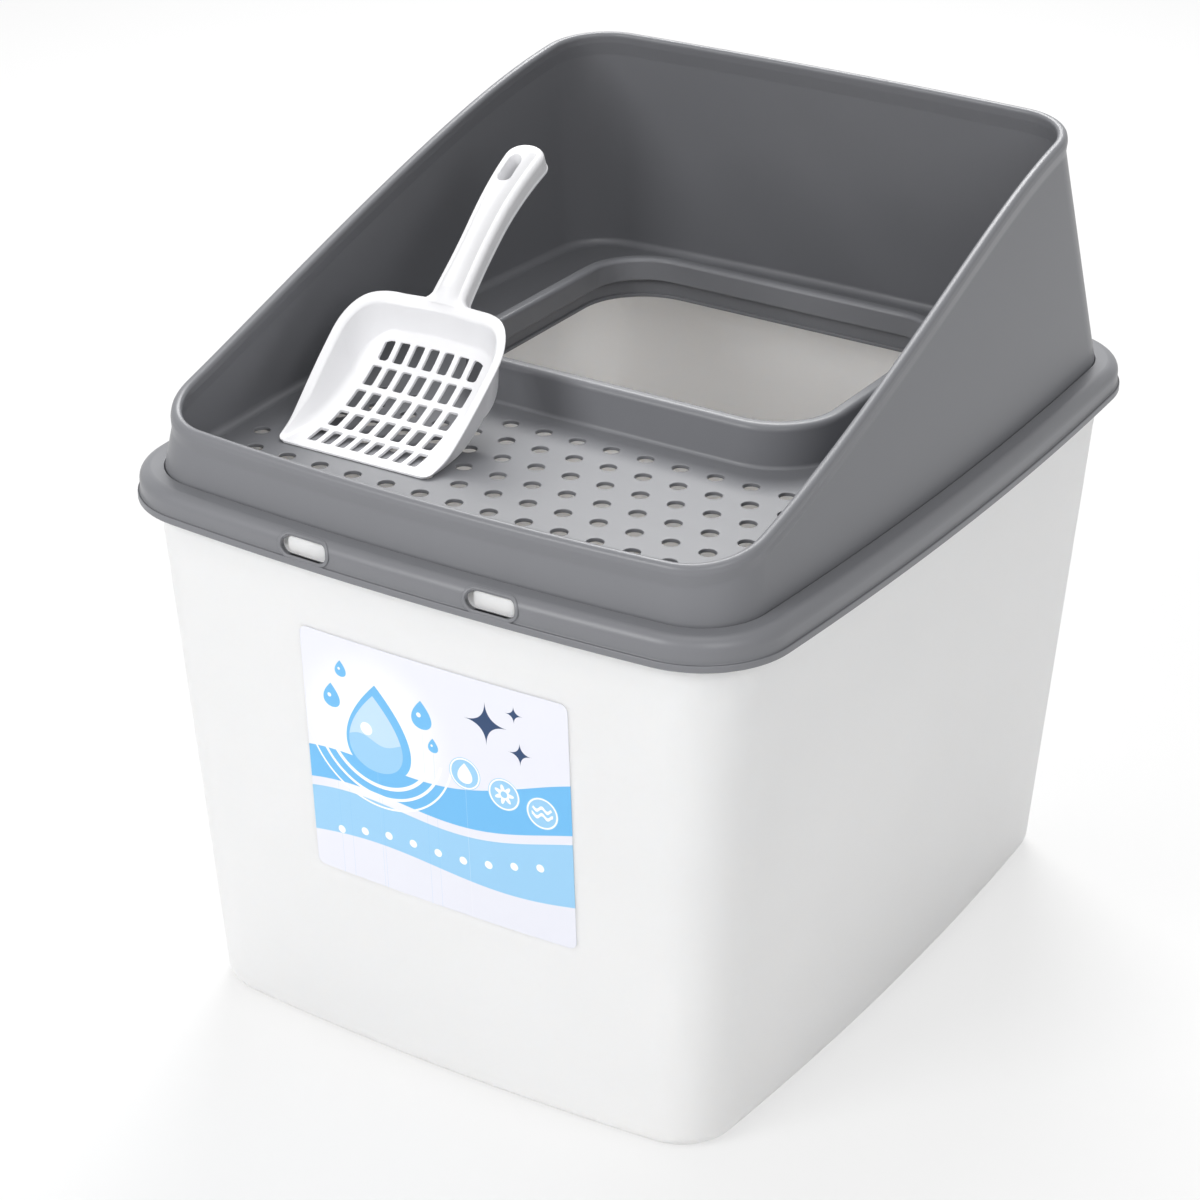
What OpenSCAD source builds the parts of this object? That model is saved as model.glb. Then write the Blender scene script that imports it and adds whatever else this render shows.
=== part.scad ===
// Top entry litter box: a tapered bin, a skirted lid with a perforated deck and
// a collared entry opening, an open-topped splash hood that stands on the lid,
// a slotted scoop that stands on the deck, and a label on the bin's front.
// The front faces -Y, +Z is up, and the origin is the middle of the floor.

/* [Bin] */
// Height of the bin to the top of its rim
bin_h = 351; // [300:1:400]
// Width of the bin at the floor, across its bowed sides
foot_w = 378; // [360:1:395]
// Depth of the bin at the floor, across its bowed front and back
foot_d = 466; // [450:1:480]
// Corner radius of the bin at the floor
foot_r = 38; // [28:1:45]
// Wall thickness of the bin
bin_wall = 2.4; // [2:0.1:3]
// Thickness of the bin's bottom
bin_floor = 3; // [2.5:0.1:6]
// Radius of the round between the bottom and the walls
foot_round = 11; // [6:1:16]
// How far the rim stands out from the wall
rim_out = 4.1; // [3:0.1:4.5]
// Height of the rim's turned-down edge
rim_drop = 9; // [6:0.5:12]

/* [Lid] */
// Width of the lid over its lip, across its bowed sides
lid_w = 447; // [440:1:460]
// Depth of the lid over its lip, across its bowed front and back
lid_d = 532; // [525:1:545]
// Corner radius of the lid at its lip
lid_r = 58; // [52:1:64]
// How far the front and back bow outwards at their middle
bow_front = 6; // [3:0.5:9]
// How far the sides bow outwards at their middle
bow_side = 7; // [3:0.5:9]
// Height of the skirt from the lip's lower edge to the land
skirt_h = 19; // [16:0.5:24]
// Thickness of the lid
lid_t = 2.5; // [2:0.1:2.8]
// Height of the lip along the skirt's lower edge
lip_h = 4.5; // [3:0.5:6]
// How far the lip stands out from the skirt
lip_out = 1.5; // [1:0.1:2]
// Radius of the shoulder between the skirt and the land
shoulder_r = 8; // [6:0.5:9]
// Width of the lid's edge from the lip to the hood's foot
land_w = 16.5; // [16:0.1:17.5]
// Depth of the deck below the land
deck_drop = 4; // [3:0.5:6]

/* [Entry] */
// Width of the entry opening
open_w = 242; // [200:1:260]
// Depth of the entry opening
open_d = 195; // [170:1:210]
// Corner radius of the entry opening
open_r = 38; // [28:1:50]
// How far the opening's centre lies behind the middle
open_y = 70.5; // [64:0.5:74]
// Height of the collar above the deck
collar_h = 27; // [22:0.5:32]
// Width of the collar at its foot
collar_w = 11; // [9.5:0.5:13]
// Depth of the lip inside the opening
collar_lip = 15; // [10:0.5:20]

/* [Deck holes] */
// Diameter of a deck hole
hole_d = 10; // [7:0.5:12]
// Distance between holes along a row
hole_pitch = 24; // [20:0.5:30]
// Distance between rows
row_pitch = 22.4; // [20:0.1:26]
// Distance from the collar's foot to the first row
row_start = 22; // [18:0.5:26]
// Number of rows
hole_rows = 7; // [5:1:7]

/* [Windows] */
// Length of a skirt window
win_len = 32; // [24:1:40]
// Height of a skirt window
win_h = 11; // [9:0.5:12]
// Distance of a window's centre from the middle
win_x = 63; // [45:1:90]
// Height of a window's lower edge above the lip
win_up = 6; // [5.5:0.5:7]
// Width of the raised border round a window
win_border = 2.2; // [1.5:0.1:3]
// How far that border stands proud
border_out = 1.1; // [0.6:0.1:1.6]

/* [Hood] */
// Height of the hood's front edge above the land
hood_front = 27; // [20:1:40]
// Height of the hood's back edge above the land
hood_back = 155; // [125:1:175]
// Rise of the sloping edge per mm of depth
hood_slope = 0.385; // [0.35:0.005:0.45]
// Place of the slope's middle along the depth
hood_mid = -46; // [-60:1:-30]
// Lean of the side walls, in mm inwards per mm of height
lean_side = 0.132; // [0.08:0.002:0.18]
// Lean of the front and back walls, in mm inwards per mm of height
lean_front = 0.236; // [0.15:0.002:0.28]
// Wall thickness of the hood
hood_wall = 3; // [2:0.1:3.6]
// How far the rolled edge stands out from the wall
roll_out = 2; // [1:0.1:3]
// Height of the rolled edge
roll_h = 9; // [7:0.5:12]
// Length of a snap peg under the hood
peg_l = 14; // [8:1:20]
// How far a snap peg reaches below the deck
peg_drop = 5; // [3:0.5:8]

/* [Scoop] */
// Length of the scoop from its front edge to its rear rim
blade_l = 99.5; // [92:0.5:106]
// Width of the scoop over its rim
blade_w = 119.5; // [112:0.5:126]
// Height that the rear rim levels off at
scoop_h = 69.5; // [64:0.5:74]
// Rise of the rim per mm of length
rim_slope = 0.85; // [0.75:0.01:0.95]
// Radius of the curved floor
floor_bend = 129; // [122:1:140]
// Wall thickness of the scoop
scoop_t = 2.4; // [2:0.1:3]
// Width of the flange round the rim
flange_w = 5.7; // [4.5:0.1:6.5]
// Length of the handle
handle_l = 122; // [90:1:140]
// Width of the handle
handle_w = 24.5; // [18:0.5:28]
// Depth of the handle
handle_t = 11; // [8:0.5:14]
// Rise of the handle at its root, in degrees
handle_rise = 41; // [34:1:46]
// Rise of the handle at its end, in degrees
end_rise = 24; // [15:1:33]
// Length of a slot along the curved floor
slot_l = 14.8; // [11:0.2:16]
// Width of a slot in the floor
slot_w = 7; // [4:0.1:7.2]
// Side-to-side distance between slots
slot_pitch = 10.9; // [9.5:0.1:11.4]
// Turn of the scoop on the deck, in degrees
scoop_turn = 1; // [0:0.5:6]
// Distance from the lid's left lip to the scoop's middle
scoop_side = 115.5; // [108:0.5:124]
// Distance from the collar's foot to the scoop's front edge
scoop_reach = 119; // [108:1:128]

/* [Label] */
// Width of the label
label_w = 182; // [120:1:200]
// Height of the label
label_h = 163; // [100:1:180]
// Corner radius of the label
label_r = 5; // [2:0.5:12]
// How far the label's centre lies right of the middle
label_x = 12; // [-20:1:20]
// Height of the label's centre above the floor
label_z = 208; // [185:1:220]
// Thickness of the label
label_t = 0.3; // [0.2:0.1:0.6]

/* [Hidden] */

white = "#f2f1ef";
grey = "#7f8184";
paper = "#eeeef6";

// clearances between pieces
seat_gap = 0.3;
fit_gap = 0.3;
lug_gap = 0.6;
scoop_gap = 0.3;
label_gap = 0.1;
// how far a joined piece sinks into its neighbour
sink = 1;

// heights, from the floor up
rim_z = bin_h;
land_z = rim_z + seat_gap + lid_t;
lip_z = land_z - skirt_h;
deck_z = land_z - deck_drop;
collar_z = deck_z + collar_h;

// half sizes of the lid's lip
lip_x = lid_w / 2;
lip_y = lid_d / 2;

// insets from the lip's outline
skirt_in = lip_out + lid_t;
rim_clear = 3.2;
rim_in = skirt_in + rim_clear;
wall_in = rim_in + rim_out;
tray_lap = 1.9;
tray_in = land_w - tray_lap;

// ---------------------------------------------------------------- outlines

// An outline is [half width, half depth, corner radius, side bow, front bow].
lip_line = [lip_x, lip_y, lid_r, bow_side, bow_front];
foot_line = [foot_w / 2, foot_d / 2, foot_r, bow_side, bow_front];
top_line = inset(lip_line, wall_in);
hood_line = inset(lip_line, land_w + fit_gap);

function inset(line, t) = [line[0] - t, line[1] - t, line[2] - t, line[3], line[4]];
function mix(a, b, k) = a + (b - a) * k;

function corner_x(line) = line[0] - line[3] - line[2];
function corner_y(line) = line[1] - line[4] - line[2];
// radius of the long arc that a side of half length c bows along
function long_r(c, bow, r) = r + (c * c + bow * bow) / (2 * bow);
function front_r(line) = long_r(corner_x(line), line[4], line[2]);
function side_r(line) = long_r(corner_y(line), line[3], line[2]);
function front_turn(line) = asin(corner_x(line) / (front_r(line) - line[2]));
function side_turn(line) = asin(corner_y(line) / (side_r(line) - line[2]));
// depth of the outline's front at a place along the width
function front_at(line, x) =
    line[1] - front_r(line) + sqrt(pow(front_r(line), 2) - x * x);
// half width of the outline at a place along the depth
function side_at(line, y) =
    line[0] - side_r(line) + sqrt(pow(side_r(line), 2) - y * y);

side_steps = 3;
corner_steps = 9;
quarter_steps = 2 * side_steps + corner_steps;
ring_n = 4 * quarter_steps;

function on_arc(x, y, r, a) = [x + r * cos(a), y + r * sin(a)];
// one quarter of the outline, from the +X axis to the +Y axis
function quarter(line) =
    let (
        a = side_turn(line),
        b = 90 - front_turn(line),
        side = [for (i = [0:side_steps - 1])
            on_arc(line[0] - side_r(line), 0, side_r(line), a * i / side_steps)],
        turn = [for (i = [0:corner_steps - 1])
            on_arc(corner_x(line), corner_y(line), line[2], mix(a, b, i / corner_steps))],
        back = [for (i = [0:side_steps])
            on_arc(0, line[1] - front_r(line), front_r(line), mix(b, 90, i / side_steps))]
    )
    concat(side, turn, back);
// the whole outline, anticlockwise from the +X axis
function ring(line) =
    let (q = quarter(line), n = quarter_steps)
    concat(
        [for (i = [0:n - 1]) q[i]],
        [for (i = [0:n - 1]) [-q[n - i][0], q[n - i][1]]],
        [for (i = [0:n - 1]) -q[i]],
        [for (i = [0:n - 1]) [q[n - i][0], -q[n - i][1]]]
    );
function ring_at(line, z) = [for (p = ring(line)) [p[0], p[1], z]];
// the outline without the points where two of its arcs meet
function loose_ring(line) =
    let (points = ring(line), meets = [side_steps, side_steps + corner_steps])
    [
        for (i = [0:ring_n - 1])
            if (i % quarter_steps != meets[0] && i % quarter_steps != meets[1]) points[i]
    ];

// triangles between neighbouring rings of n points
function band(n, lower, upper) = [
    for (i = [0:n - 1], side = [0, 1])
        let (j = (i + 1) % n)
        side == 0
            ? [upper * n + i, lower * n + j, lower * n + i]
            : [upper * n + i, upper * n + j, lower * n + j]
];

// a solid whose skin runs through a list of rings, closed flat at both ends
module ring_stack(rings) {
    n = len(rings[0]);
    last = len(rings) - 1;
    bands = [for (k = [0:last - 1], f = band(n, k, k + 1)) f];
    caps = [
        [for (i = [0:n - 1]) i],
        [for (i = [0:n - 1]) (last + 1) * n - 1 - i]
    ];
    polyhedron([for (r = rings, p = r) p], concat(bands, caps));
}

// a solid whose skin runs through a list of rings and back to the first
module ring_loop(rings) {
    n = len(rings[0]);
    count = len(rings);
    bands = [for (k = [0:count - 1], f = band(n, k, (k + 1) % count)) f];
    polyhedron([for (r = rings, p = r) p], bands);
}

// carries a closed profile round an outline; its x is the distance outwards
module profile_loop(line, profile) {
    ring_loop([for (p = profile) ring_at(inset(line, -p[0]), p[1])]);
}

module long_arc(r, from, span) {
    rotate([0, 0, from])
        rotate_extrude(angle = span, $fn = 720)
            translate([r, 0]) children();
}
module short_arc(r, from, span) {
    rotate([0, 0, from])
        rotate_extrude(angle = span, $fn = 120)
            translate([r, 0]) children();
}

// sweeps a profile round a straight-sided rounded rectangle
module frame_sweep(w, d, r) {
    cx = w / 2 - r;
    cy = d / 2 - r;
    for (k = [0:1])
        rotate([0, 0, 180 * k]) {
            translate([cx, cy, 0])
                short_arc(r, 0, 90) children();
            translate([-cx, cy, 0])
                short_arc(r, 90, 90) children();
            translate([cx + r, cy, 0])
                rotate([90, 0, 0])
                    linear_extrude(2 * cy) children();
            translate([-cx, cy + r, 0])
                rotate([90, 0, 90])
                    linear_extrude(2 * cx) children();
        }
}
module rounded_rect(w, d, r, fine = 72) {
    union() {
        square([w - 2 * r, d], center = true);
        square([w, d - 2 * r], center = true);
        for (x = [-1, 1], y = [-1, 1])
            translate([x * (w / 2 - r), y * (d / 2 - r)])
                circle(r, $fn = fine);
    }
}
function arc_points(x, y, r, from, to, steps) =
    [for (i = [0:steps]) on_arc(x, y, r, mix(from, to, i / steps))];

// --------------------------------------------------------------------- bin

round_steps = 4;
// outline of the bin's outer wall at a height
function wall_line(z) = mix(foot_line, top_line, z / rim_z);
// rings round the rounded foot, for a wall t inside the outer skin
function foot_rings(t, base, r, up) = [
    for (i = [0:round_steps])
        let (
            k = up ? i : round_steps - i,
            a = 90 * k / round_steps,
            z = base + r * (1 - cos(a))
        )
        ring_at(inset(wall_line(z), t + r * (1 - sin(a))), z)
];

// round of the rim's outer edge
edge_r = 2;
module bin() {
    color(white)
        union() {
            ring_stack(concat(
                foot_rings(0, 0, foot_round, true),
                [
                    ring_at(wall_line(rim_z / 2), rim_z / 2),
                    ring_at(wall_line(rim_z - bin_wall), rim_z - bin_wall),
                    ring_at(inset(top_line, bin_wall - rim_out), rim_z - bin_wall),
                    ring_at(inset(top_line, bin_wall - rim_out), rim_z - rim_drop),
                    ring_at(inset(top_line, -rim_out), rim_z - rim_drop),
                    ring_at(inset(top_line, -rim_out), rim_z - edge_r),
                    ring_at(inset(top_line, edge_r - rim_out), rim_z),
                    ring_at(inset(top_line, bin_wall - edge_r), rim_z),
                    ring_at(inset(top_line, bin_wall), rim_z - edge_r),
                    ring_at(inset(wall_line(rim_z / 2), bin_wall), rim_z / 2)
                ],
                foot_rings(bin_wall, bin_floor, foot_round - bin_wall, false)
            ));
            for (side = [-1, 1], x = [-win_x, win_x])
                lug(side, x);
        }
}

// bar on the rim that shows in a skirt window
lug_len = win_len - 4 * border_out;
lug_r = 3;
lug_face = front_at(inset(lip_line, skirt_in), win_x + lug_len / 2) - lug_gap;
lug_back = front_at(inset(lip_line, rim_in), win_x + lug_len / 2) - sink;
lug_z = lip_z + win_up;
module lug(side, x) {
    lug_h = rim_z - seat_gap - lug_z;
    depth = lug_face - lug_back;
    translate([x, side * (lug_back + depth / 2), lug_z + lug_h / 2])
        rotate([90, 0, 0])
            translate([0, 0, -depth / 2])
                linear_extrude(depth)
                    rounded_rect(lug_len, lug_h, lug_r);
}

// --------------------------------------------------------------------- lid

shoulder_steps = 6;
shoulder_mid = [-lip_out - shoulder_r, land_z - shoulder_r];
lip_ease = 1;
// arc of the shoulder, grown outwards by g
function shoulder_arc(g, from, to) =
    arc_points(shoulder_mid[0], shoulder_mid[1], shoulder_r + g, from, to, shoulder_steps);
skirt_profile = concat(
    [[0, lip_z], [0, lip_z + lip_h - lip_ease], [-lip_ease, lip_z + lip_h]],
    shoulder_arc(0, 0, 90),
    [
        [-land_w, land_z],
        [-land_w, deck_z - lid_t],
        [-tray_in, deck_z - lid_t],
        [-tray_in, land_z - lid_t]
    ],
    shoulder_arc(-lid_t, 90, 0),
    [[-skirt_in, lip_z]]
);

// rounds of the collar's top, and how far its outside leans in
collar_steps = 4;
top_r = 4;
top_in_r = 2.5;
collar_draft = 1.5;
module collar_profile() {
    foot_z = deck_z - lid_t;
    lip_end = collar_z - collar_lip;
    out_top = collar_w - collar_draft;
    polygon(concat(
        [[collar_w, foot_z], [collar_w, deck_z]],
        arc_points(out_top - top_r, collar_z - top_r, top_r, 0, 90, collar_steps),
        arc_points(top_in_r, collar_z - top_in_r, top_in_r, 90, 180, collar_steps),
        [
            [0, lip_end],
            [lid_t, lip_end],
            [lid_t, collar_z - lid_t],
            [out_top - lid_t, collar_z - lid_t],
            [collar_w - lid_t, foot_z]
        ]
    ));
}

deck_front = open_y - open_d / 2 - collar_w;
function row_y(j) = deck_front - row_start - j * row_pitch;
hole_edge = 14;
function is_even(j) = j % 2 == 0;
// centres of the holes of one row, staggered by half a pitch
function row_holes(j) =
    let (
        reach = side_at(hood_line, row_y(j)) - hood_wall - hole_edge - corner_cut(row_y(j)),
        shift = is_even(j) ? hole_pitch / 2 : 0,
        count = floor((reach - shift) / hole_pitch)
    )
    [for (k = [is_even(j) ? -count - 1 : -count:count]) k * hole_pitch + shift];
// how far the rounded corner takes a row's end inwards
function corner_cut(y) =
    let (
        r = hood_line[2],
        into = max(0, -y - corner_y(hood_line))
    )
    r - sqrt(max(0, r * r - into * into));

module deck_holes() {
    for (j = [0:hole_rows - 1], x = row_holes(j))
        translate([x, row_y(j), deck_z - lid_t - sink])
            cylinder(d = hole_d, h = lid_t + 2 * sink, $fn = 36);
}

// the perforated deck with the collar round its opening
module deck() {
    difference() {
        union() {
            translate([0, 0, deck_z - lid_t])
                linear_extrude(lid_t)
                    difference() {
                        polygon(loose_ring(inset(lip_line, (land_w + tray_in) / 2)));
                        translate([0, open_y])
                            rounded_rect(
                                open_w + 2 * collar_w - lid_t,
                                open_d + 2 * collar_w - lid_t,
                                open_r + collar_w - lid_t / 2
                            );
                    }
            translate([0, open_y, 0])
                frame_sweep(open_w, open_d, open_r) collar_profile();
        }
        deck_holes();
    }
}

win_z = lip_z + win_up + win_h / 2;
// short straight left at each end of a window
win_flat = 0.4;
border_turn = 72;
// an obround prism through the skirt at each window
module window_bars(side, grow) {
    for (x = [-win_x, win_x])
        translate([x, side * lip_y, win_z])
            rotate([90, 0, 0])
                translate([0, 0, -land_w])
                    linear_extrude(2 * land_w)
                        rounded_rect(
                            win_len + 2 * grow,
                            win_h + 2 * grow,
                            (win_h - win_flat) / 2 + grow
                        );
}
// the raised border, a ring that follows the skirt and shoulder
module window_borders(side) {
    line = lip_line;
    half = front_turn(line);
    low = lip_z + lip_h - sink;
    middle = lid_t / 2;
    intersection() {
        window_bars(side, win_border);
        rotate([0, 0, side < 0 ? 180 : 0])
            translate([0, line[1] - front_r(line), 0])
                long_arc(front_r(line), 90 - half, 2 * half)
                    polygon(concat(
                        [[border_out - lip_out, low]],
                        shoulder_arc(border_out, 0, border_turn),
                        shoulder_arc(-middle, border_turn, 0),
                        [[-lip_out - middle, low]]
                    ));
    }
}

// the lid's edge: skirt, land and tray wall, with the windows cut through
module skirt() {
    difference() {
        union() {
            profile_loop(lip_line, skirt_profile);
            for (side = [-1, 1])
                window_borders(side);
        }
        for (side = [-1, 1])
            window_bars(side, 0);
    }
}

module lid() {
    color(grey)
        difference() {
            union() {
                skirt();
                deck();
            }
            at_pegs()
                peg_slot();
        }
}

// -------------------------------------------------------------------- hood

// outline of the hood's outer wall at a height above the land
function hood_at(h) = [
    hood_line[0] - lean_side * h,
    hood_line[1] - lean_front * h,
    hood_line[2],
    hood_line[3] * (1 - h / (2 * hood_back)),
    hood_line[4] * (1 - h / (2 * hood_back))
];
hood_foot = ring(hood_at(0));
hood_top = ring(hood_at(hood_back));
// a point of the outer wall, by its place round the ring and its height
function hood_point(i, h) = mix(hood_foot[i], hood_top[i], h / hood_back);

// height of the sloping edge over the land, held softly between its two ends
soft = 36;
function soft_over(a, b, s) = (a + b + sqrt(pow(a - b, 2) + s * s)) / 2;
function soft_under(a, b, s) = (a + b - sqrt(pow(a - b, 2) + s * s)) / 2;
ends = soft / 3;
function edge_h(y) =
    let (
        low = hood_front - ends,
        high = hood_back + ends,
        straight = (low + high) / 2 + hood_slope * (y - hood_mid)
    )
    soft_under(soft_over(straight, low, soft), high, soft);
// the edge's height at ring point i, found in a few turns
function edge_at(i, h = hood_front, turns = 5) =
    turns == 0 ? h : edge_at(i, edge_h(hood_point(i, h)[1]), turns - 1);
edge_heights = [for (i = [0:ring_n - 1]) edge_at(i)];

// direction out of the wall at ring point i
function out_of(i) =
    let (
        a = hood_foot[(i + ring_n - 1) % ring_n],
        b = hood_foot[(i + 1) % ring_n],
        d = (b - a) / norm(b - a)
    )
    [d[1], -d[0]];
// a ring at a share of the edge's height, moved outwards and up
function hood_ring(share, out, up) = [
    for (i = [0:ring_n - 1])
        let (
            h = share * edge_heights[i] + up,
            p = hood_point(i, max(h, 0)) + out * out_of(i)
        )
        [p[0], p[1], land_z + h]
];

module hood() {
    foot = -deck_drop;
    toe = 3;
    // width and height of the rolled edge's rounds
    ease = 0.8;
    ease_h = 1.1;
    lip = 3.3;
    color(grey)
        union() {
            ring_loop([
                hood_ring(0, 0, foot),
                hood_ring(0, 0, 0),
                hood_ring(0.5, 0, 0),
                hood_ring(1, 0, -roll_h),
                hood_ring(1, roll_out, ease - roll_h),
                hood_ring(1, roll_out, -lip),
                hood_ring(1, roll_out - ease, -ease_h),
                hood_ring(1, roll_out - lip * ease, 0),
                hood_ring(1, ease - hood_wall, 0),
                hood_ring(1, -hood_wall - ease / 2, -ease_h),
                hood_ring(1, -hood_wall - ease, -lip),
                hood_ring(1, -hood_wall, -roll_h),
                hood_ring(0.5, -hood_wall, 0),
                hood_ring(0, -hood_wall, foot + 2 * toe),
                hood_ring(0, -hood_wall - toe / 3, foot + toe / 2),
                hood_ring(0, -hood_wall - toe, foot)
            ]);
            at_pegs()
                snap_peg();
        }
}

// places of the snap pegs: two on each side, three at the front and the back
peg_t = 1.6;
peg_hook = 0.8;
peg_in = hood_wall / 2;
peg_x = lip_x / 2;
peg_y = 0.45 * lip_y;
module at_pegs() {
    for (side = [0, 180])
        rotate([0, 0, side]) {
            for (y = [-peg_y, peg_y])
                translate([side_at(hood_line, y) - peg_in, y, deck_z])
                    rotate([0, 0, 90]) children();
            for (x = [-peg_x, 0, peg_x])
                translate([x, front_at(hood_line, x) - peg_in, deck_z])
                    rotate([0, 0, 180]) children();
        }
}
// a leg through the deck with a small hook under it
module snap_peg() {
    leg = lid_t + peg_drop;
    translate([-peg_l / 2, -peg_t / 2, -leg])
        cube([peg_l, peg_t, leg + sink]);
    translate([-peg_l / 2, 0, -leg])
        cube([peg_l, peg_t / 2 + peg_hook, peg_drop - fit_gap]);
}
module peg_slot() {
    translate([-peg_l / 2 - fit_gap, -peg_t / 2 - fit_gap, -lid_t - sink])
        cube([
            peg_l + 2 * fit_gap,
            peg_t + peg_hook + 2 * fit_gap,
            lid_t + 2 * sink
        ]);
}

// ------------------------------------------------------------------- scoop

// the scoop's own frame: x across, y from the front edge back, z up from the deck
half_w = blade_w / 2;
turn_r = 30;
rear_bow = 2.5;
tip_in = 5.5;
turn_x = half_w - turn_r;
turn_y = blade_l - rear_bow - turn_r;
path_steps = 10;
turn_steps = 8;
bow_steps = 3;
// half of the rim's path, from the front tip to the middle of the rear: place, then way out
function rim_half() = concat(
    [
        for (i = [0:path_steps - 1])
            let (k = i / path_steps)
            [[half_w - tip_in * pow(1 - k, 2), turn_y * k], [1, 0]]
    ],
    [
        for (i = [0:turn_steps])
            let (a = 90 * i / turn_steps)
            [on_arc(turn_x, turn_y, turn_r, a), [cos(a), sin(a)]]
    ],
    [
        for (i = [1:bow_steps])
            let (k = 1 - i / bow_steps)
            [[turn_x * k, turn_y + turn_r + rear_bow * (1 - k * k)], [0, 1]]
    ]
);
function both_halves(half) =
    let (n = len(half) - 1)
    concat(half, [
        for (i = [1:n])
            let (q = half[n - i])
            [[-q[0][0], q[0][1]], [-q[1][0], q[1][1]]]
    ]);
rim_path = both_halves(rim_half());

// height of the rim: a thin lip at the front, a straight rise, level at the rear
lip_slope = 0.3;
rise_start = 9.4;
lip_soft = 4;
rear_soft = 6;
function rim_rise(y) = soft_under(
    soft_over(rim_slope * (y - rise_start), scoop_t + lip_slope * y, lip_soft),
    scoop_h,
    rear_soft
);
// height of the curved floor's upper side; its bend starts just before the front edge
nose_t = 1.2;
bend_start = 2;
function floor_top(y) =
    nose_t + floor_bend * (1 - sqrt(1 - pow((y + bend_start) / floor_bend, 2)));
// the walls' lower edge lies flat on the deck at first, then rises in a parabola
flat_l = 34;
low_rise = 0.0122;
function wall_low(y) =
    max(0, min(y < flat_l ? 0 : low_rise * pow(y - flat_l, 2), floor_top(y) - 1.25 * scoop_t));

// how far inside the rim the wall meets the floor; the tilted tray brings it out at the rear
foot_near = 6.5;
foot_far = 13.3;
foot_lean = 0.38;
rear_shift = 9;
function foot_in(s) =
    min(foot_far, foot_near + foot_lean * (rim_rise(s[0][1]) - floor_top(s[0][1])))
    - rear_shift * s[1][1];
function inside(s, in) = s[0] - in * s[1];
// a point of the flange's plane, in mm inside the rim and below it
function flange_point(s, in, down) =
    let (q = inside(s, in))
    [q[0], q[1], rim_rise(s[0][1]) - rim_slope * in * s[1][1] - down];
function foot_point(s, in, up) =
    let (q = inside(s, in))
    [q[0], q[1], floor_top(q[1]) + up];
function low_point(s, in) =
    let (q = inside(s, in))
    [q[0], q[1], wall_low(q[1])];

flange_t = 1.7;
toe_w = 2.5;
toe_sink = 0.3;
module scoop_wall() {
    t = scoop_t;
    stations = [
        for (s = rim_path)
            let (
                rise = rim_rise(s[0][1]),
                foot = foot_in(s),
                // the rounds and the flange's overhang grow with the wall
                k = min(1, rise / 20),
                hip = flange_point(s, flange_w + 0.2, 2.8 * k),
                toe = foot_point(s, foot, 0.5)
            )
            [
                low_point(s, foot - t),
                flange_point(s, (flange_w - t) * k, flange_t + 0.6),
                flange_point(s, 0.5 * k, flange_t),
                flange_point(s, 0, flange_t - 0.5),
                flange_point(s, 0, 0.6),
                flange_point(s, 0.7, 0),
                flange_point(s, 3.2, 0.2 * k),
                flange_point(s, 5, 1.2 * k),
                hip,
                mix(hip, toe, 0.8) + [0, 0, -0.6 * k],
                toe,
                foot_point(s, foot + toe_w, -toe_sink),
                foot_point(s, foot + toe_w, max(toe_sink, floor_top(inside(s, foot + toe_w)[1]) - t)
                    - floor_top(inside(s, foot + toe_w)[1])),
                low_point(s, foot)
            ]
    ];
    n = len(stations[0]);
    last = len(stations) - 1;
    bands = [for (k = [0:last - 1], f = band(n, k, k + 1)) [f[2], f[1], f[0]]];
    // strips that close the section at both front tips
    half = [for (i = [0:n / 2 - 2], f = [[i, i + 1, n - 1 - i], [i + 1, n - 2 - i, n - 1 - i]]) f];
    ends = [
        for (f = half, side = [0, 1])
            side == 0 ? [f[2], f[1], f[0]] : [for (i = f) last * n + i]
    ];
    polyhedron([for (s = stations, p = s) p], concat(bands, ends));
}

// slots: one row of eight at the front, then rows of seven
first_slot = 11;
slot_gap = 4.2;
slot_rows = 5;
slot_corner = 1.2;
floor_steps = 16;
// place along y of a length along the floor's bend
function bend_y(s) = floor_bend * sin(s / floor_bend * 180 / PI) - bend_start;
module blade_slots() {
    for (j = [0:slot_rows - 1]) {
        count = j == 0 ? 8 : 7;
        pitch = slot_pitch * (j == 0 ? 0.94 : mix(1.04, 0.98, (j - 1) / (slot_rows - 2)));
        from = bend_y(first_slot + j * (slot_l + slot_gap));
        to = bend_y(first_slot + j * (slot_l + slot_gap) + slot_l);
        for (i = [0:count - 1])
            translate([(i - (count - 1) / 2) * pitch, (from + to) / 2, -sink])
                linear_extrude(scoop_h)
                    rounded_rect(slot_w, to - from, slot_corner, 16);
    }
}
// the curved floor, cut to the inside of the wall's foot
floor_lap = 1.2;
module blade() {
    ys = [for (i = [0:floor_steps]) blade_l * i / floor_steps];
    difference() {
        intersection() {
            translate([-half_w, 0, 0])
                rotate([90, 0, 90])
                    linear_extrude(blade_w)
                        polygon(concat(
                            [for (y = ys) [y, floor_top(y)]],
                            [
                                for (i = [0:floor_steps])
                                    let (y = ys[floor_steps - i])
                                    [y, max(0, floor_top(y) - scoop_t)]
                            ]
                        ));
            linear_extrude(scoop_h)
                polygon([for (s = rim_path) inside(s, foot_in(s) + floor_lap)]);
        }
        blade_slots();
    }
}

// the handle is a channel that is open below: straight, then bent, with a hole to hang it by
root_wide = 1.12;
waist_wide = 0.92;
end_wide = 1.12;
waist_at = 0.45;
straight_part = 0.47;
flare_w = 6;
flare_part = 0.07;
hang_l = 20;
hang_w = 9;
hang_at = 0.76;
end_round = 0.4;
handle_steps = 8;
handle_step = handle_l / handle_steps;
// the root's end face lies inside the tray's rear wall
root_y = blade_l - 4.3;
root_z = rim_rise(root_y) - 0.3;
neck_y = blade_l - 1.5;
neck_z = rim_rise(neck_y) + 4.8;
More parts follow.
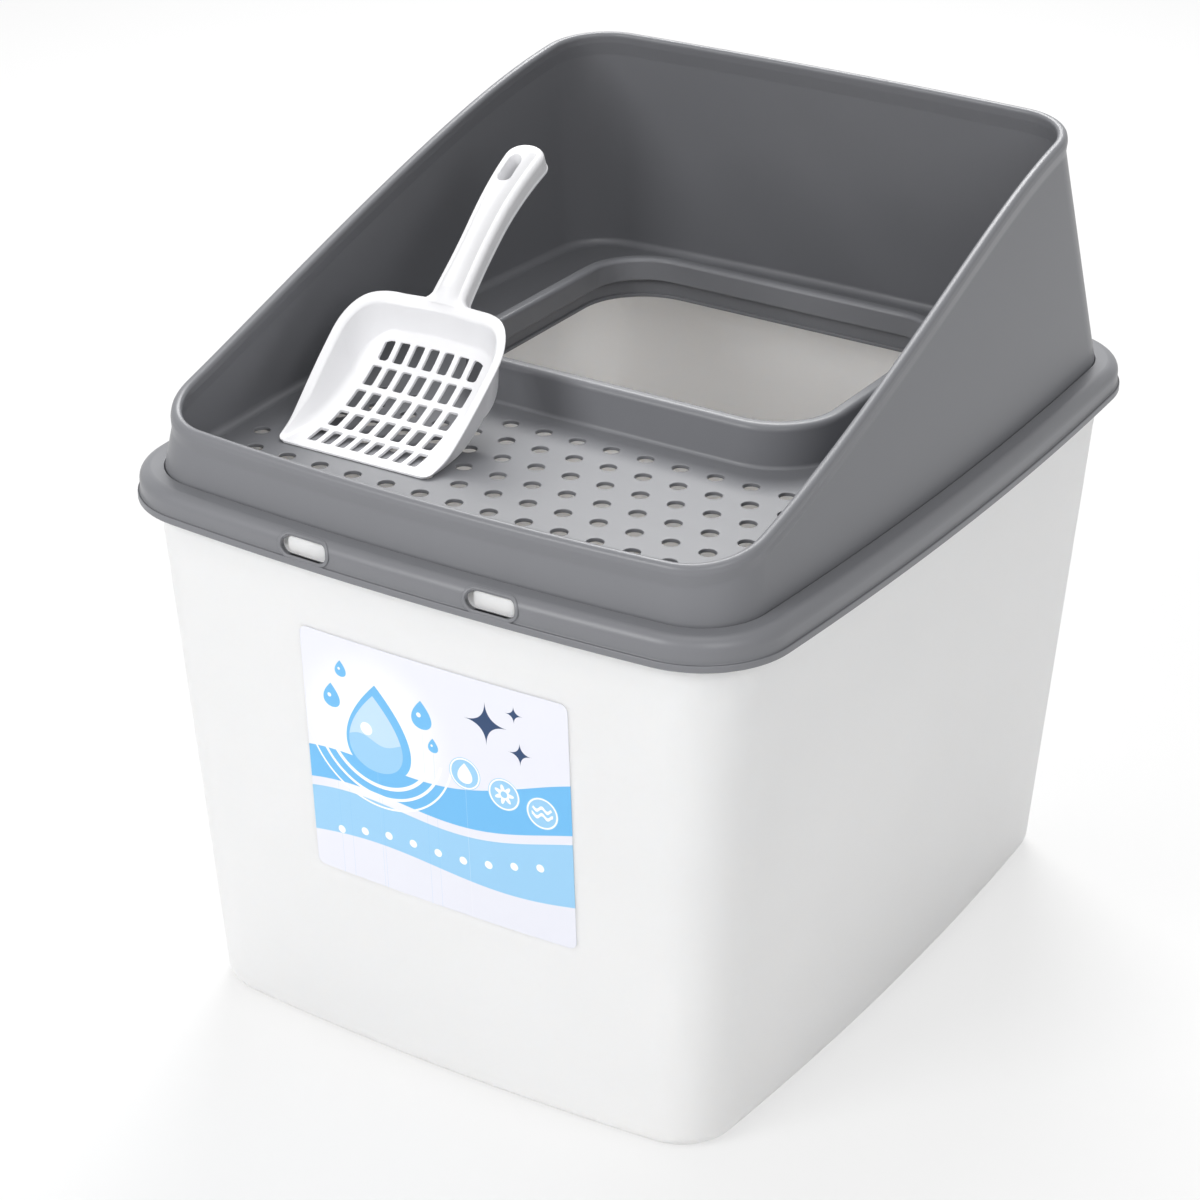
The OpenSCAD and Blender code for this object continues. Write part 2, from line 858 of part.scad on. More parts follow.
// rise of the crown line at a share k of the handle's length
function handle_turn(k) =
    mix(handle_rise, end_rise, max(0, k - straight_part) / (1 - straight_part));
// the crown line: place across y and z after i steps
function handle_at(i) =
    i == 0
        ? [neck_y, neck_z]
        : handle_at(i - 1) + handle_step * [
            cos(handle_turn((i - 0.5) / handle_steps)),
            sin(handle_turn((i - 0.5) / handle_steps))
        ];
function handle_under(i, t) =
    let (a = handle_turn(i / handle_steps))
    handle_at(i) + t * [sin(a), -cos(a)];
function handle_half(k) = handle_w / 2 * (
    k < waist_at
        ? mix(root_wide, waist_wide, k / waist_at)
        : mix(waist_wide, end_wide, (k - waist_at) / (1 - waist_at))
);
// side view of the handle between two depths under the crown line
module handle_side(top, low) {
    steps = [for (i = [0:handle_steps]) i];
    translate([-handle_w, 0, 0])
        rotate([90, 0, 90])
            linear_extrude(2 * handle_w)
                polygon(concat(
                    [[root_y, root_z - low / cos(handle_rise)], [root_y, root_z - top]],
                    [for (i = steps) handle_under(i, top)],
                    [for (i = steps) handle_under(handle_steps - i, low)]
                ));
}
// plan of the handle, t mm inside its outline
module handle_plan(t, flare) {
    end = handle_at(handle_steps)[0] - t;
    r = end_round * handle_w;
    near = [for (k = [0, 0.02, 0.04, flare_part]) [
        handle_half(k) - t + flare * pow(1 - k / flare_part, 2),
        neck_y + k * handle_l * cos(handle_rise)
    ]];
    far = [for (i = [1:handle_steps - 1]) [
        handle_half(i / handle_steps) - t,
        handle_at(i)[0]
    ]];
    tip = arc_points(handle_half(1) - t - r, end - r, r, 0, 90, 6);
    side = concat([[near[0][0] + 0.3, root_y - sink]], near, far, tip);
    n = len(side) - 1;
    linear_extrude(3 * scoop_h)
        polygon(concat(side, [for (i = [0:n]) [-side[n - i][0], side[n - i][1]]]));
}
module handle() {
    hang = handle_at(round(hang_at * handle_steps));
    difference() {
        intersection() {
            handle_side(0, handle_t);
            handle_plan(0, flare_w);
        }
        intersection() {
            handle_side(scoop_t, 2 * handle_t);
            handle_plan(scoop_t, 0);
        }
        translate([0, hang[0], hang[1]])
            rotate([handle_turn(hang_at), 0, 0])
                translate([0, 0, -2 * handle_t])
                    linear_extrude(3 * handle_t)
                        rounded_rect(hang_w, hang_l, (hang_w - win_flat) / 2);
    }
}

scoop_x = scoop_side - lip_x;
module scoop() {
    color(white)
        translate([scoop_x, deck_front - scoop_reach, deck_z + scoop_gap])
            rotate([0, 0, scoop_turn])
                union() {
                    blade();
                    scoop_wall();
                    handle();
                }
}

// ------------------------------------------------------------- front label

label_steps = 12;
label_bend = 4;
// rows of the label: height above its middle and half width there
function label_rows() =
    let (
        w = label_w / 2,
        h = label_h / 2,
        bend = [for (i = [0:label_bend]) 90 * i / label_bend],
        lower = [for (a = bend) [-h + label_r * (1 - sin(a)), w - label_r * (1 - cos(a))]]
    )
    concat(
        [for (i = [0:label_bend]) lower[label_bend - i]],
        [for (k = [1:3]) [mix(label_r - h, h - label_r, k / 4), w]],
        [for (q = lower) [-q[0], q[1]]]
    );
// one skin of the label, a distance off the bin's front
function label_skin(off) = [
    for (row = label_rows())
        let (
            z = label_z + row[0],
            line = inset(wall_line(z), -off)
        )
        for (k = [0:label_steps])
            let (x = label_x + row[1] * (2 * k / label_steps - 1))
            [x, -front_at(line, x), z]
];
module front_label() {
    rows = len(label_rows());
    cols = label_steps + 1;
    inner = rows * cols;
    quads = [for (r = [0:rows - 2], c = [0:cols - 2]) r * cols + c];
    front = [for (q = quads, f = [[q, q + cols + 1, q + 1], [q, q + cols, q + cols + 1]]) f];
    back = [for (f = front) [f[2] + inner, f[1] + inner, f[0] + inner]];
    rim = concat(
        [for (c = [0:cols - 1]) c],
        [for (r = [1:rows - 1]) r * cols + cols - 1],
        [for (c = [1:cols - 1]) rows * cols - 1 - c],
        [for (r = [1:rows - 2]) (rows - 1 - r) * cols]
    );
    n = len(rim);
    edge = [
        for (i = [0:n - 1], side = [0, 1])
            let (a = rim[i], b = rim[(i + 1) % n])
            side == 0 ? [a, b, b + inner] : [a, b + inner, a + inner]
    ];
    color(paper)
        polyhedron(
            concat(label_skin(label_gap + label_t), label_skin(label_gap)),
            concat(front, back, edge)
        );
}

bin();
lid();
hood();
scoop();
front_label();
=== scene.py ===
# Top entry litter box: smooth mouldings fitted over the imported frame, their plastics, and the printed label.
import math
import bmesh
import bpy
import numpy as np
from mathutils import Matrix, Vector


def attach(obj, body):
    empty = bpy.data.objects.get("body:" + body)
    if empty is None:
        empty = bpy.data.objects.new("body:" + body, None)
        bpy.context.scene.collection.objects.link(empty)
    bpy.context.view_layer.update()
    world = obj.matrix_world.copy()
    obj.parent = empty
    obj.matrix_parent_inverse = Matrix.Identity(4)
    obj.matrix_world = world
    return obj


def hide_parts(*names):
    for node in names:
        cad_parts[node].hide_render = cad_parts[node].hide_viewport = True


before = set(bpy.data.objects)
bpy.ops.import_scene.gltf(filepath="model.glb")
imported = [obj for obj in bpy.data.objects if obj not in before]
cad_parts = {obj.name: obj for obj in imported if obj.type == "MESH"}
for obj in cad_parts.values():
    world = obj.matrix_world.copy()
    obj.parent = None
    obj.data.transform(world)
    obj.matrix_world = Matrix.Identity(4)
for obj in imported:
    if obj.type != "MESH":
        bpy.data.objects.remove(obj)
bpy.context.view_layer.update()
print("frame loaded")

mm = 0.001  # metres in a millimetre


def outline(line, sideSteps=10, cornerSteps=16):
    # bowed rounded rectangle: a long arc along each side, tangent to an arc at each corner;
    # line holds rows of half width, half depth, corner radius, side bow and front bow
    line = np.atleast_2d(np.asarray(line, float))
    w, d, r, bowSide, bowFront = (line[:, k:k + 1] for k in range(5))
    cx, cy = w - bowSide - r, d - bowFront - r
    longFront = r + (cx ** 2 + bowFront ** 2) / (2 * bowFront)
    longSide = r + (cy ** 2 + bowSide ** 2) / (2 * bowSide)
    a = np.arcsin(cy / (longSide - r))
    b = np.pi / 2 - np.arcsin(cx / (longFront - r))
    s = np.arange(sideSteps) / sideSteps
    k = np.arange(cornerSteps) / cornerSteps
    e = np.arange(sideSteps + 1) / sideSteps
    t1, t2, t3 = a * s, a + (b - a) * k, b + (np.pi / 2 - b) * e
    x = np.hstack([w - longSide + longSide * np.cos(t1), cx + r * np.cos(t2), longFront * np.cos(t3)])
    y = np.hstack([longSide * np.sin(t1), cy + r * np.sin(t2), d - longFront + longFront * np.sin(t3)])
    t = np.hstack([t1, t2, t3])
    q = np.stack([x, y, np.cos(t), np.sin(t)], axis=-1)     # place and outward direction, one quarter
    back = q[:, -1:0:-1]
    loop = np.concatenate([q[:, :-1], back * [-1, 1, -1, 1], q[:, :-1] * -1, back * [1, -1, 1, -1]], axis=1)
    return loop[..., :2], loop[..., 2:]


def roundedRect(w, d, r, cornerSteps=14, sideSteps=4):
    # straight sides and quarter circles, anticlockwise from the middle of the right side
    t = np.linspace(0, np.pi / 2, cornerSteps + 1)
    s = np.linspace(0, 1, sideSteps, endpoint=False)
    cx, cy = w / 2 - r, d / 2 - r
    x = np.concatenate([np.full(sideSteps, w / 2), cx + r * np.cos(t), cx * (1 - s[1:]), [0]])
    y = np.concatenate([cy * s, cy + r * np.sin(t), np.full(sideSteps, d / 2)])
    nx = np.concatenate([np.ones(sideSteps), np.cos(t), np.zeros(sideSteps)])
    ny = np.concatenate([np.zeros(sideSteps), np.sin(t), np.ones(sideSteps)])
    q = np.stack([x, y, nx, ny], axis=-1)
    back = q[-1:0:-1]
    loop = np.concatenate([q[:-1], back * [-1, 1, -1, 1], q[:-1] * -1, back * [1, -1, 1, -1]])
    return loop[:, :2], loop[:, 2:]


def roundedProfile(corners, steps=5, hold=0.3):
    # each corner (x, z, radius) becomes an arc tangent to both its sides; a point held just
    # before and after the arc keeps the flats flat when they are shaded smoothly; several
    # profiles may come in one array
    c = np.asarray(corners, float)
    p, r = c[..., :2], c[..., 2]
    before, after = p - np.roll(p, 1, axis=-2), np.roll(p, -1, axis=-2) - p
    lengthBefore = np.maximum(np.linalg.norm(before, axis=-1), 1e-6)
    lengthAfter = np.maximum(np.linalg.norm(after, axis=-1), 1e-6)
    d1, d2 = before / lengthBefore[..., None], after / lengthAfter[..., None]
    turn = np.arctan2(d1[..., 0] * d2[..., 1] - d1[..., 1] * d2[..., 0], (d1 * d2).sum(-1))
    half = np.tan(np.maximum(np.abs(turn), 1e-6) / 2)
    reach = np.minimum(r * half, 0.48 * np.minimum(lengthBefore, lengthAfter))
    radius = reach / half
    side = np.stack([-d1[..., 1], d1[..., 0]], axis=-1) * np.sign(turn)[..., None]
    centre = p - d1 * reach[..., None] + side * radius[..., None]
    angle = turn[..., None, None] * np.linspace(0, 1, steps + 1)[:, None]
    arm = (p - d1 * reach[..., None] - centre)[..., None, :]
    arc = centre[..., None, :] + np.concatenate([
        arm[..., :1] * np.cos(angle) - arm[..., 1:] * np.sin(angle),
        arm[..., :1] * np.sin(angle) + arm[..., 1:] * np.cos(angle)], axis=-1)
    room = np.minimum(hold, 0.45 * (np.minimum(lengthBefore, lengthAfter) - reach) + 1e-4)
    first = p - d1 * (reach + room)[..., None]
    last = p + d2 * (reach + room)[..., None]
    rounded = np.concatenate([first[..., None, :], arc, last[..., None, :]], axis=-2)
    return rounded.reshape(c.shape[:-2] + (-1, 2))


def carry(place, way, profile):
    # a profile (distance outwards, height) carried round a loop of places and outward directions
    profile = np.asarray(profile, float)
    xy = place[None] + way[None] * profile[:, 0, None, None]
    z = np.broadcast_to(profile[:, 1, None, None], xy.shape[:2] + (1,))
    return np.concatenate([xy, z], axis=2)


def closeIn(ring, middle, steps=6):
    # rows from a ring to the nearest place on the line between two middle points
    a, b = np.asarray(middle[0], float), np.asarray(middle[1], float)
    along = b - a
    share = np.clip(((ring - a) @ along) / max(along @ along, 1e-9), 0, 1)[:, None]
    end = a + along * share
    k = np.linspace(0, 1, steps + 1)[1:, None, None]
    return ring[None] * (1 - k) + end[None] * k


def quads(rows, columns, wrapRows=False, wrapColumns=True):
    # corner numbers of the cells between neighbouring rows and columns
    i = np.arange(rows if wrapRows else rows - 1)[:, None]
    j = np.arange(columns if wrapColumns else columns - 1)[None, :]
    i2, j2 = (i + 1) % rows, (j + 1) % columns
    cell = [i * columns + j, i * columns + j2, i2 * columns + j2, i2 * columns + j]
    return np.stack(np.broadcast_arrays(*cell), axis=-1).reshape(-1, 4)


def shell(grid, wrapRows=False, wrapColumns=True):
    # a grid of places as (places, cells), turned so that a closed shell faces outwards
    rows, columns = grid.shape[:2]
    points = grid.reshape(-1, 3)
    cells = quads(rows, columns, wrapRows, wrapColumns)
    a, b, c, d = (points[cells[:, k]] for k in range(4))
    volume = (a * np.cross(b, c)).sum() + (a * np.cross(c, d)).sum()
    return points, cells if volume > 0 else cells[:, ::-1]


def joined(name, parts):
    # one mesh of several parts (places in mm, cells)
    points, cells, count = [], [], 0
    for places, faces in parts:
        points.append(places)
        cells += [tuple(int(v) + count for v in face) for face in faces]
        count += len(places)
    mesh = bpy.data.meshes.new(name)
    mesh.from_pydata((np.concatenate(points) * mm).tolist(), [], cells)
    return mesh


def evenShading(piece):
    # large faces lead the normals, so that flats stay flat beside small rounded edges
    step = piece.modifiers.new("even", "WEIGHTED_NORMAL")
    step.keep_sharp, step.weight = True, 60


def addPiece(name, parts, body, material, smooth=35.0):
    # joins parts (places in mm, cells) into one piece that rides on a body
    mesh = joined(name, parts)
    tidy = bmesh.new()
    tidy.from_mesh(mesh)
    bmesh.ops.remove_doubles(tidy, verts=tidy.verts, dist=2e-7)
    bmesh.ops.dissolve_degenerate(tidy, edges=tidy.edges, dist=1e-8)
    tidy.to_mesh(mesh)
    tidy.free()
    mesh.polygons.foreach_set("use_smooth", np.ones(len(mesh.polygons), bool))
    mesh.set_sharp_from_angle(angle=math.radians(smooth))
    mesh.materials.append(material)
    piece = bpy.data.objects.new(name, mesh)
    bpy.context.scene.collection.objects.link(piece)
    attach(piece, body)
    evenShading(piece)
    return piece


def plate(loops, low, high, edge=0.5, edgeSteps=2):
    # a flat plate between two heights with rounded edges: the first loop is its outline, the rest its holes
    curve = bpy.data.curves.new("plate", "CURVE")
    curve.dimensions, curve.fill_mode = "2D", "BOTH"
    for loop in loops:
        spline = curve.splines.new("POLY")
        spline.points.add(len(loop) - 1)
        flat = np.concatenate([loop, np.zeros((len(loop), 1)), np.ones((len(loop), 1))], axis=1)
        spline.points.foreach_set("co", flat.astype(np.float32).ravel())
        spline.use_cyclic_u = True
    curve.extrude = (high - low) / 2 - edge
    curve.bevel_depth, curve.bevel_resolution, curve.offset = edge, edgeSteps, -edge
    holder = bpy.data.objects.new("plate", curve)
    bpy.context.scene.collection.objects.link(holder)
    bpy.context.view_layer.update()
    mesh = bpy.data.meshes.new_from_object(holder.evaluated_get(bpy.context.evaluated_depsgraph_get()))
    points = np.empty(len(mesh.vertices) * 3)
    mesh.vertices.foreach_get("co", points)
    points = points.reshape(-1, 3) + [0, 0, (low + high) / 2]
    cells = [tuple(p.vertices) for p in mesh.polygons]
    bpy.data.objects.remove(holder)
    bpy.data.meshes.remove(mesh)
    return points, cells


def strips(points, cells, cuts):
    # splits a flat mesh along y at the given distances, so that it can be bent
    mesh = bpy.data.meshes.new("strips")
    mesh.from_pydata(points.tolist(), [], cells)
    work = bmesh.new()
    work.from_mesh(mesh)
    for y in cuts:
        every = work.verts[:] + work.edges[:] + work.faces[:]
        bmesh.ops.bisect_plane(work, geom=every, dist=1e-4, plane_co=(0, float(y), 0), plane_no=(0, 1, 0))
    work.to_mesh(mesh)
    work.free()
    points = np.empty(len(mesh.vertices) * 3)
    mesh.vertices.foreach_get("co", points)
    cells = [tuple(p.vertices) for p in mesh.polygons]
    bpy.data.meshes.remove(mesh)
    return points.reshape(-1, 3), cells


def cut(piece, parts):
    # takes closed parts out of a piece
    holder = bpy.data.objects.new("cutter", joined("cutter", parts))
    bpy.context.scene.collection.objects.link(holder)
    piece.modifiers.clear()
    step = piece.modifiers.new("cut", "BOOLEAN")
    step.operation, step.solver, step.object = "DIFFERENCE", "EXACT", holder
    bpy.context.view_layer.update()
    result = bpy.data.meshes.new_from_object(piece.evaluated_get(bpy.context.evaluated_depsgraph_get()))
    piece.modifiers.clear()
    result.name = piece.name
    piece.data = result
    result.set_sharp_from_angle(angle=math.radians(35))
    bpy.data.objects.remove(holder)
    evenShading(piece)


def linear(code):
    # sRGB hex to linear red, green, blue and a full alpha
    c = np.array([int(code[k:k + 2], 16) for k in (1, 3, 5)]) / 255
    c = np.where(c <= 0.04045, c / 12.92, ((c + 0.055) / 1.055) ** 2.4)
    return (*c.tolist(), 1.0)


def addNode(tree, kind, settings=None, links=None):
    # one node, with its own settings and sockets set or linked by name or number
    node = tree.nodes.new(kind)
    for key, value in (settings or {}).items():
        setattr(node, key, value)
    for socket, value in (links or {}).items():
        if isinstance(value, bpy.types.NodeSocket):
            tree.links.new(value, node.inputs[socket])
        else:
            node.inputs[socket].default_value = value
    return node


def emptyMaterial(name):
    material = bpy.data.materials.new(name)
    material.use_nodes = True
    material.node_tree.nodes.clear()
    return material, material.node_tree


def mouldedPlastic(name, look):
    # injection-moulded plastic: a faint spark-eroded grain breaks up the shine, and the
    # melt's slow swirls change colour and shine by a hair
    material, tree = emptyMaterial(name)
    place = addNode(tree, "ShaderNodeTexCoord").outputs["Object"]
    grain = addNode(tree, "ShaderNodeTexNoise", None, {
        "Vector": place, "Scale": 1 / (look["grain"] * mm), "Detail": 3.0, "Roughness": 0.6})
    swirl = addNode(tree, "ShaderNodeTexNoise", None, {
        "Vector": place, "Scale": 1 / (look["swirl"] * mm), "Detail": 2.0, "Roughness": 0.5})
    tint = addNode(tree, "ShaderNodeMix", {"data_type": "RGBA"}, {
        0: swirl.outputs["Fac"], 6: linear(look["dark"]), 7: linear(look["light"])})
    shine = addNode(tree, "ShaderNodeMapRange", None, {
        "Value": swirl.outputs["Fac"], "To Min": look["rough"] - 0.03, "To Max": look["rough"] + 0.03})
    bump = addNode(tree, "ShaderNodeBump", None, {
        "Height": grain.outputs["Fac"], "Strength": look["bump"], "Distance": 0.05 * mm})
    surface = addNode(tree, "ShaderNodeBsdfPrincipled", None, {
        "Base Color": tint.outputs[2], "Roughness": shine.outputs[0], "Normal": bump.outputs[0],
        "IOR": 1.49, "Specular IOR Level": 0.4, "Subsurface Weight": look["glow"],
        "Subsurface Radius": (1.0, 0.95, 0.9), "Subsurface Scale": 8 * mm})
    addNode(tree, "ShaderNodeOutputMaterial", None, {"Surface": surface.outputs[0]})
    return material


whiteLook = {"dark": "#f1f0ef", "light": "#f5f4f3", "rough": 0.42,
             "grain": 0.6, "swirl": 90, "bump": 0.15, "glow": 0.7}
greyLook = {"dark": "#77787c", "light": "#7b7c80", "rough": 0.36,
            "grain": 0.6, "swirl": 70, "bump": 0.25, "glow": 0.0}
scoopLook = {"dark": "#f4f4f6", "light": "#f7f7f9", "rough": 0.30,
             "grain": 0.8, "swirl": 40, "bump": 0.08, "glow": 0.0}
whitePlastic = mouldedPlastic("moulded white polypropylene", whiteLook)
greyPlastic = mouldedPlastic("moulded grey polypropylene", greyLook)
scoopPlastic = mouldedPlastic("moulded glossy white polypropylene", scoopLook)
print("plastics made")

# sizes shared by the pieces, in mm

box = {"rimHeight": 351.0, "landHeight": 353.8, "lipHeight": 334.8, "deckHeight": 349.8, "collarHeight": 376.8}
lipLine = np.array([223.5, 266.0, 58.0, 7.0, 6.0])
footLine = np.array([189.0, 233.0, 38.0, 7.0, 6.0])


def inset(line, t):
    return np.asarray(line) - np.multiply.outer(t, [1, 1, 1, 0, 0])


def frontAt(line, x):
    # depth of a bowed front at a place along the width
    line = np.asarray(line)
    cx = line[..., 0] - line[..., 3] - line[..., 2]
    r = line[..., 2] + (cx ** 2 + line[..., 4] ** 2) / (2 * line[..., 4])
    return line[..., 1] - r + np.sqrt(r ** 2 - x ** 2)


binShape = {"wall": 2.4, "floor": 3.0, "footRound": 11.0, "rimIn": 7.2, "rimOut": 4.1, "rimDrop": 9.0,
            "lugX": 63.0, "lugLength": 27.6, "lugLow": 340.8, "lugHigh": 350.7, "lugRound": 3.0}


def wallLine(z):
    # the wall tapers evenly from the rim down to the foot
    k = np.asarray(z)[..., None] / box["rimHeight"]
    topLine = inset(lipLine, binShape["rimIn"] + binShape["rimOut"])
    return footLine * (1 - k) + topLine * k


def binShell():
    s = binShape
    t, base, r = s["wall"], s["floor"], s["footRound"]
    rim, out = box["rimHeight"], s["rimOut"]
    a = np.linspace(0, np.pi / 2, 9)
    # rows of height, and distance outwards from the tapered wall
    foot = np.stack([r * (1 - np.cos(a)), -r * (1 - np.sin(a))], axis=1)
    walls = np.stack([np.linspace(r + 2, rim - 12, 12), np.zeros(12)], axis=1)
    lip = roundedProfile([
        (0, rim - t, 0.8), (out - t, rim - t, 0.5), (out - t, rim - s["rimDrop"], 0.6),
        (out, rim - s["rimDrop"], 0.6), (out, rim, 2.0), (-t, rim, 1.6)], steps=4)[:, ::-1]
    inner = np.stack([np.linspace(rim - 12, base + r, 12), np.full(12, -t)], axis=1)
    ri = r - t
    bed = np.stack([base + ri * (1 - np.cos(a[::-1])), -t - ri * (1 - np.sin(a[::-1]))], axis=1)
    rows = np.concatenate([foot, walls, lip, inner, bed])
    place, way = outline(wallLine(np.minimum(rows[:, 0], rim)))
    xy = place + way * rows[:, 1, None, None]
    grid = np.concatenate([xy, np.broadcast_to(rows[:, 0, None, None], xy.shape[:2] + (1,))], axis=2)
    under = closeIn(grid[0], [(0, -40, 0), (0, 40, 0)], 3)[::-1]
    inside = closeIn(grid[-1], [(0, -40, base), (0, 40, base)], 3)
    return shell(np.concatenate([under, grid, inside]))


def lug(side, x):
    # a bar with rounded ends, rounded over at its face
    s = binShape
    high, low = s["lugHigh"], s["lugLow"]
    place, way = roundedRect(s["lugLength"], high - low, s["lugRound"], cornerSteps=6)
    face = frontAt(inset(lipLine, 4.0), s["lugX"] + s["lugLength"] / 2) - 0.6
    root = face - 5.5
    depth = [(0, root), (0, face - 1.2), (-0.12, face - 0.7), (-0.45, face - 0.25), (-1.0, face)]
    grid = carry(place, way, depth)
    cap = closeIn(grid[-1], [(-10, 0, face), (10, 0, face)], 2)
    base = closeIn(grid[0], [(-10, 0, root), (10, 0, root)], 1)[::-1]
    grid = np.concatenate([base, grid, cap])
    turned = np.stack([grid[..., 0] + x, side * grid[..., 2], grid[..., 1] + (low + high) / 2], axis=-1)
    return shell(turned)


lugs = [lug(side, x) for side in (-1, 1) for x in (-binShape["lugX"], binShape["lugX"])]
binPiece = addPiece("bin_moulding", [binShell()] + lugs, "bin", whitePlastic)
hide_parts("bin")
print("bin made")


lidShape = {"thick": 2.5, "lip": 4.5, "lipOut": 1.5, "shoulder": 8.0, "land": 16.5, "trayWall": 1.9,
            "windowX": 63.0, "windowLength": 32.0, "windowHeight": 11.0, "windowUp": 6.0, "border": 2.2, "proud": 1.1,
            "holeWidth": 10.0, "holePitch": 24.0, "rowPitch": 22.4, "rowStart": 22.0, "rows": 7, "holeEdge": 14.0,
            "openW": 242.0, "openD": 195.0, "openR": 38.0, "openY": 70.5, "collarW": 11.0, "collarLip": 15.0}


def skirtShell():
    # lip, skirt, rounded shoulder, land and the wall down to the deck, carried round the outline
    s = lidShape
    low, top, deck, t = box["lipHeight"], box["landHeight"], box["deckHeight"], s["thick"]
    profile = roundedProfile([
        (0, low, 0.9), (0, low + s["lip"], 1.0), (-s["lipOut"], low + s["lip"], 0.7),
        (-s["lipOut"], top, s["shoulder"]), (-s["land"], top, 0.9), (-s["land"], deck - t, 0.3),
        (s["trayWall"] - s["land"], deck - t, 0.3), (s["trayWall"] - s["land"], top - t, 0.5),
        (-s["lipOut"] - t, top - t, s["shoulder"] - t), (-s["lipOut"] - t, low, 0.6)], steps=8)
    place, way = outline(lipLine)
    return shell(carry(place[0], way[0], profile), wrapRows=True)


def windowLoop(grow=0.0):
    s = lidShape
    w, h = s["windowLength"] + 2 * grow, s["windowHeight"] + 2 * grow
    place, way = roundedRect(w, h, h / 2 - 0.02, cornerSteps=12)
    middle = box["lipHeight"] + s["windowUp"] + s["windowHeight"] / 2
    return place + [0, middle], way


def windowCutter(side, x):
    place, _ = windowLoop()
    depth = side * np.array([lipLine[1] - 14, lipLine[1] + 6])
    ring = np.stack([place[:, 0] + x, np.zeros(len(place)), place[:, 1]], axis=-1)
    grid = np.stack([ring + [0, depth[0], 0], ring + [0, depth[1], 0]])
    middle = [(x - 12, depth[0], place[:, 1].mean()), (x + 12, depth[0], place[:, 1].mean())]
    ends = [np.array(middle), np.array(middle) + [0, depth[1] - depth[0], 0]]
    return shell(np.concatenate([closeIn(grid[0], ends[0], 1)[::-1], grid, closeIn(grid[1], ends[1], 1)]))


def windowBorder(side, x):
    # a bead round the window that lies on the skirt's skin; distances above the shoulder's
    # start are measured along its arc
    s = lidShape
    place, way = windowLoop()
    start, r = box["landHeight"] - s["shoulder"], s["shoulder"]
    bead = roundedProfile([(0, -1.9, 0.1), (s["border"], -1.9, 0.1), (s["border"], s["proud"], 0.8),
                           (0, s["proud"], 0.6)], steps=5, hold=0.1)
    z = place[:, 1]
    along = np.where(z > start, start + r * np.arcsin(np.clip((z - start) / r, -1, 1)), z)
    px = x + place[None, :, 0] + bead[:, :1] * way[None, :, 0]
    pa = along[None] + bead[:, :1] * way[None, :, 1]
    proud = np.broadcast_to(bead[:, 1:], px.shape)
    lean = np.clip((pa - start) / r, 0, np.pi / 2)
    skin = s["lipOut"] + r * (1 - np.cos(lean)) - proud * np.cos(lean)
    pz = np.minimum(pa, start) + r * np.sin(lean) + proud * np.sin(lean)
    py = side * frontAt(inset(lipLine, skin), px)
    return shell(np.stack([px, py, pz], axis=-1), wrapRows=True)


def holeCentres():
    # rows staggered by half a pitch, each as long as the deck is wide there
    s = lidShape
    hoodLine = inset(lipLine, s["land"] + 0.3)
    deckFront = s["openY"] - s["openD"] / 2 - s["collarW"]
    centres = []
    for j in range(s["rows"]):
        y = deckFront - s["rowStart"] - j * s["rowPitch"]
        cy = hoodLine[1] - hoodLine[4] - hoodLine[2]
        longSide = hoodLine[2] + (cy ** 2 + hoodLine[3] ** 2) / (2 * hoodLine[3])
        halfWidth = hoodLine[0] - longSide + math.sqrt(longSide ** 2 - y * y)
        into = max(0.0, -y - cy)
        corner = hoodLine[2] - math.sqrt(max(0.0, hoodLine[2] ** 2 - into * into))
        reach = halfWidth - 3.0 - s["holeEdge"] - corner
        shift = s["holePitch"] / 2 if j % 2 == 0 else 0.0
        count = math.floor((reach - shift) / s["holePitch"])
        first = -count - 1 if j % 2 == 0 else -count
        centres += [(k * s["holePitch"] + shift, y) for k in range(first, count + 1)]
    return np.array(centres)


def deckPlate():
    s = lidShape
    rim, _ = outline(inset(lipLine, s["land"] - 1.0))
    inner, _ = roundedRect(s["openW"] + 14, s["openD"] + 14, s["openR"] + 7)
    t = np.linspace(0, 2 * np.pi, 28, endpoint=False)
    circle = np.stack([np.cos(t), np.sin(t)], axis=1) * s["holeWidth"] / 2
    holes = [circle + c for c in holeCentres()]
    return plate([rim[0], inner + [0, s["openY"]]] + holes, box["deckHeight"] - s["thick"], box["deckHeight"], 0.6, 3)


def collarShell():
    # a hollow bead with a broad rounded top, a fillet at its foot and a lip down inside the opening
    s = lidShape
    deck, top, w, t = box["deckHeight"], box["collarHeight"], s["collarW"], s["thick"]
    place, way = roundedRect(s["openW"], s["openD"], s["openR"], cornerSteps=20, sideSteps=8)
    profile = roundedProfile([
        (w + 5.0, deck - 0.6, 0.2), (w + 5.0, deck + 0.02, 0.2), (w, deck + 0.02, 4.5), (w - 1.5, top, 4.2),
        (0, top, 2.6), (0, top - s["collarLip"], 0.7), (t, top - s["collarLip"], 0.7), (t, top - t, 1.0),
        (w - 1.5 - t, top - t, 1.5), (w - t, deck - 0.6, 0.5)], steps=8)
    return shell(carry(place + [0, s["openY"]], way, profile), wrapRows=True)


skirtPiece = addPiece("lid_skirt", [skirtShell()], "lid", greyPlastic)
windows = [(side, x) for side in (-1, 1) for x in (-lidShape["windowX"], lidShape["windowX"])]
cut(skirtPiece, [windowCutter(side, x) for side, x in windows])
borders = [windowBorder(side, x) for side, x in windows]
bordersPiece = addPiece("lid_window_borders", borders, "lid", greyPlastic)
deckPiece = addPiece("lid_deck", [deckPlate()], "lid", greyPlastic)
collarPiece = addPiece("lid_collar", [collarShell()], "lid", greyPlastic)
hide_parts("lid")
print("lid made")


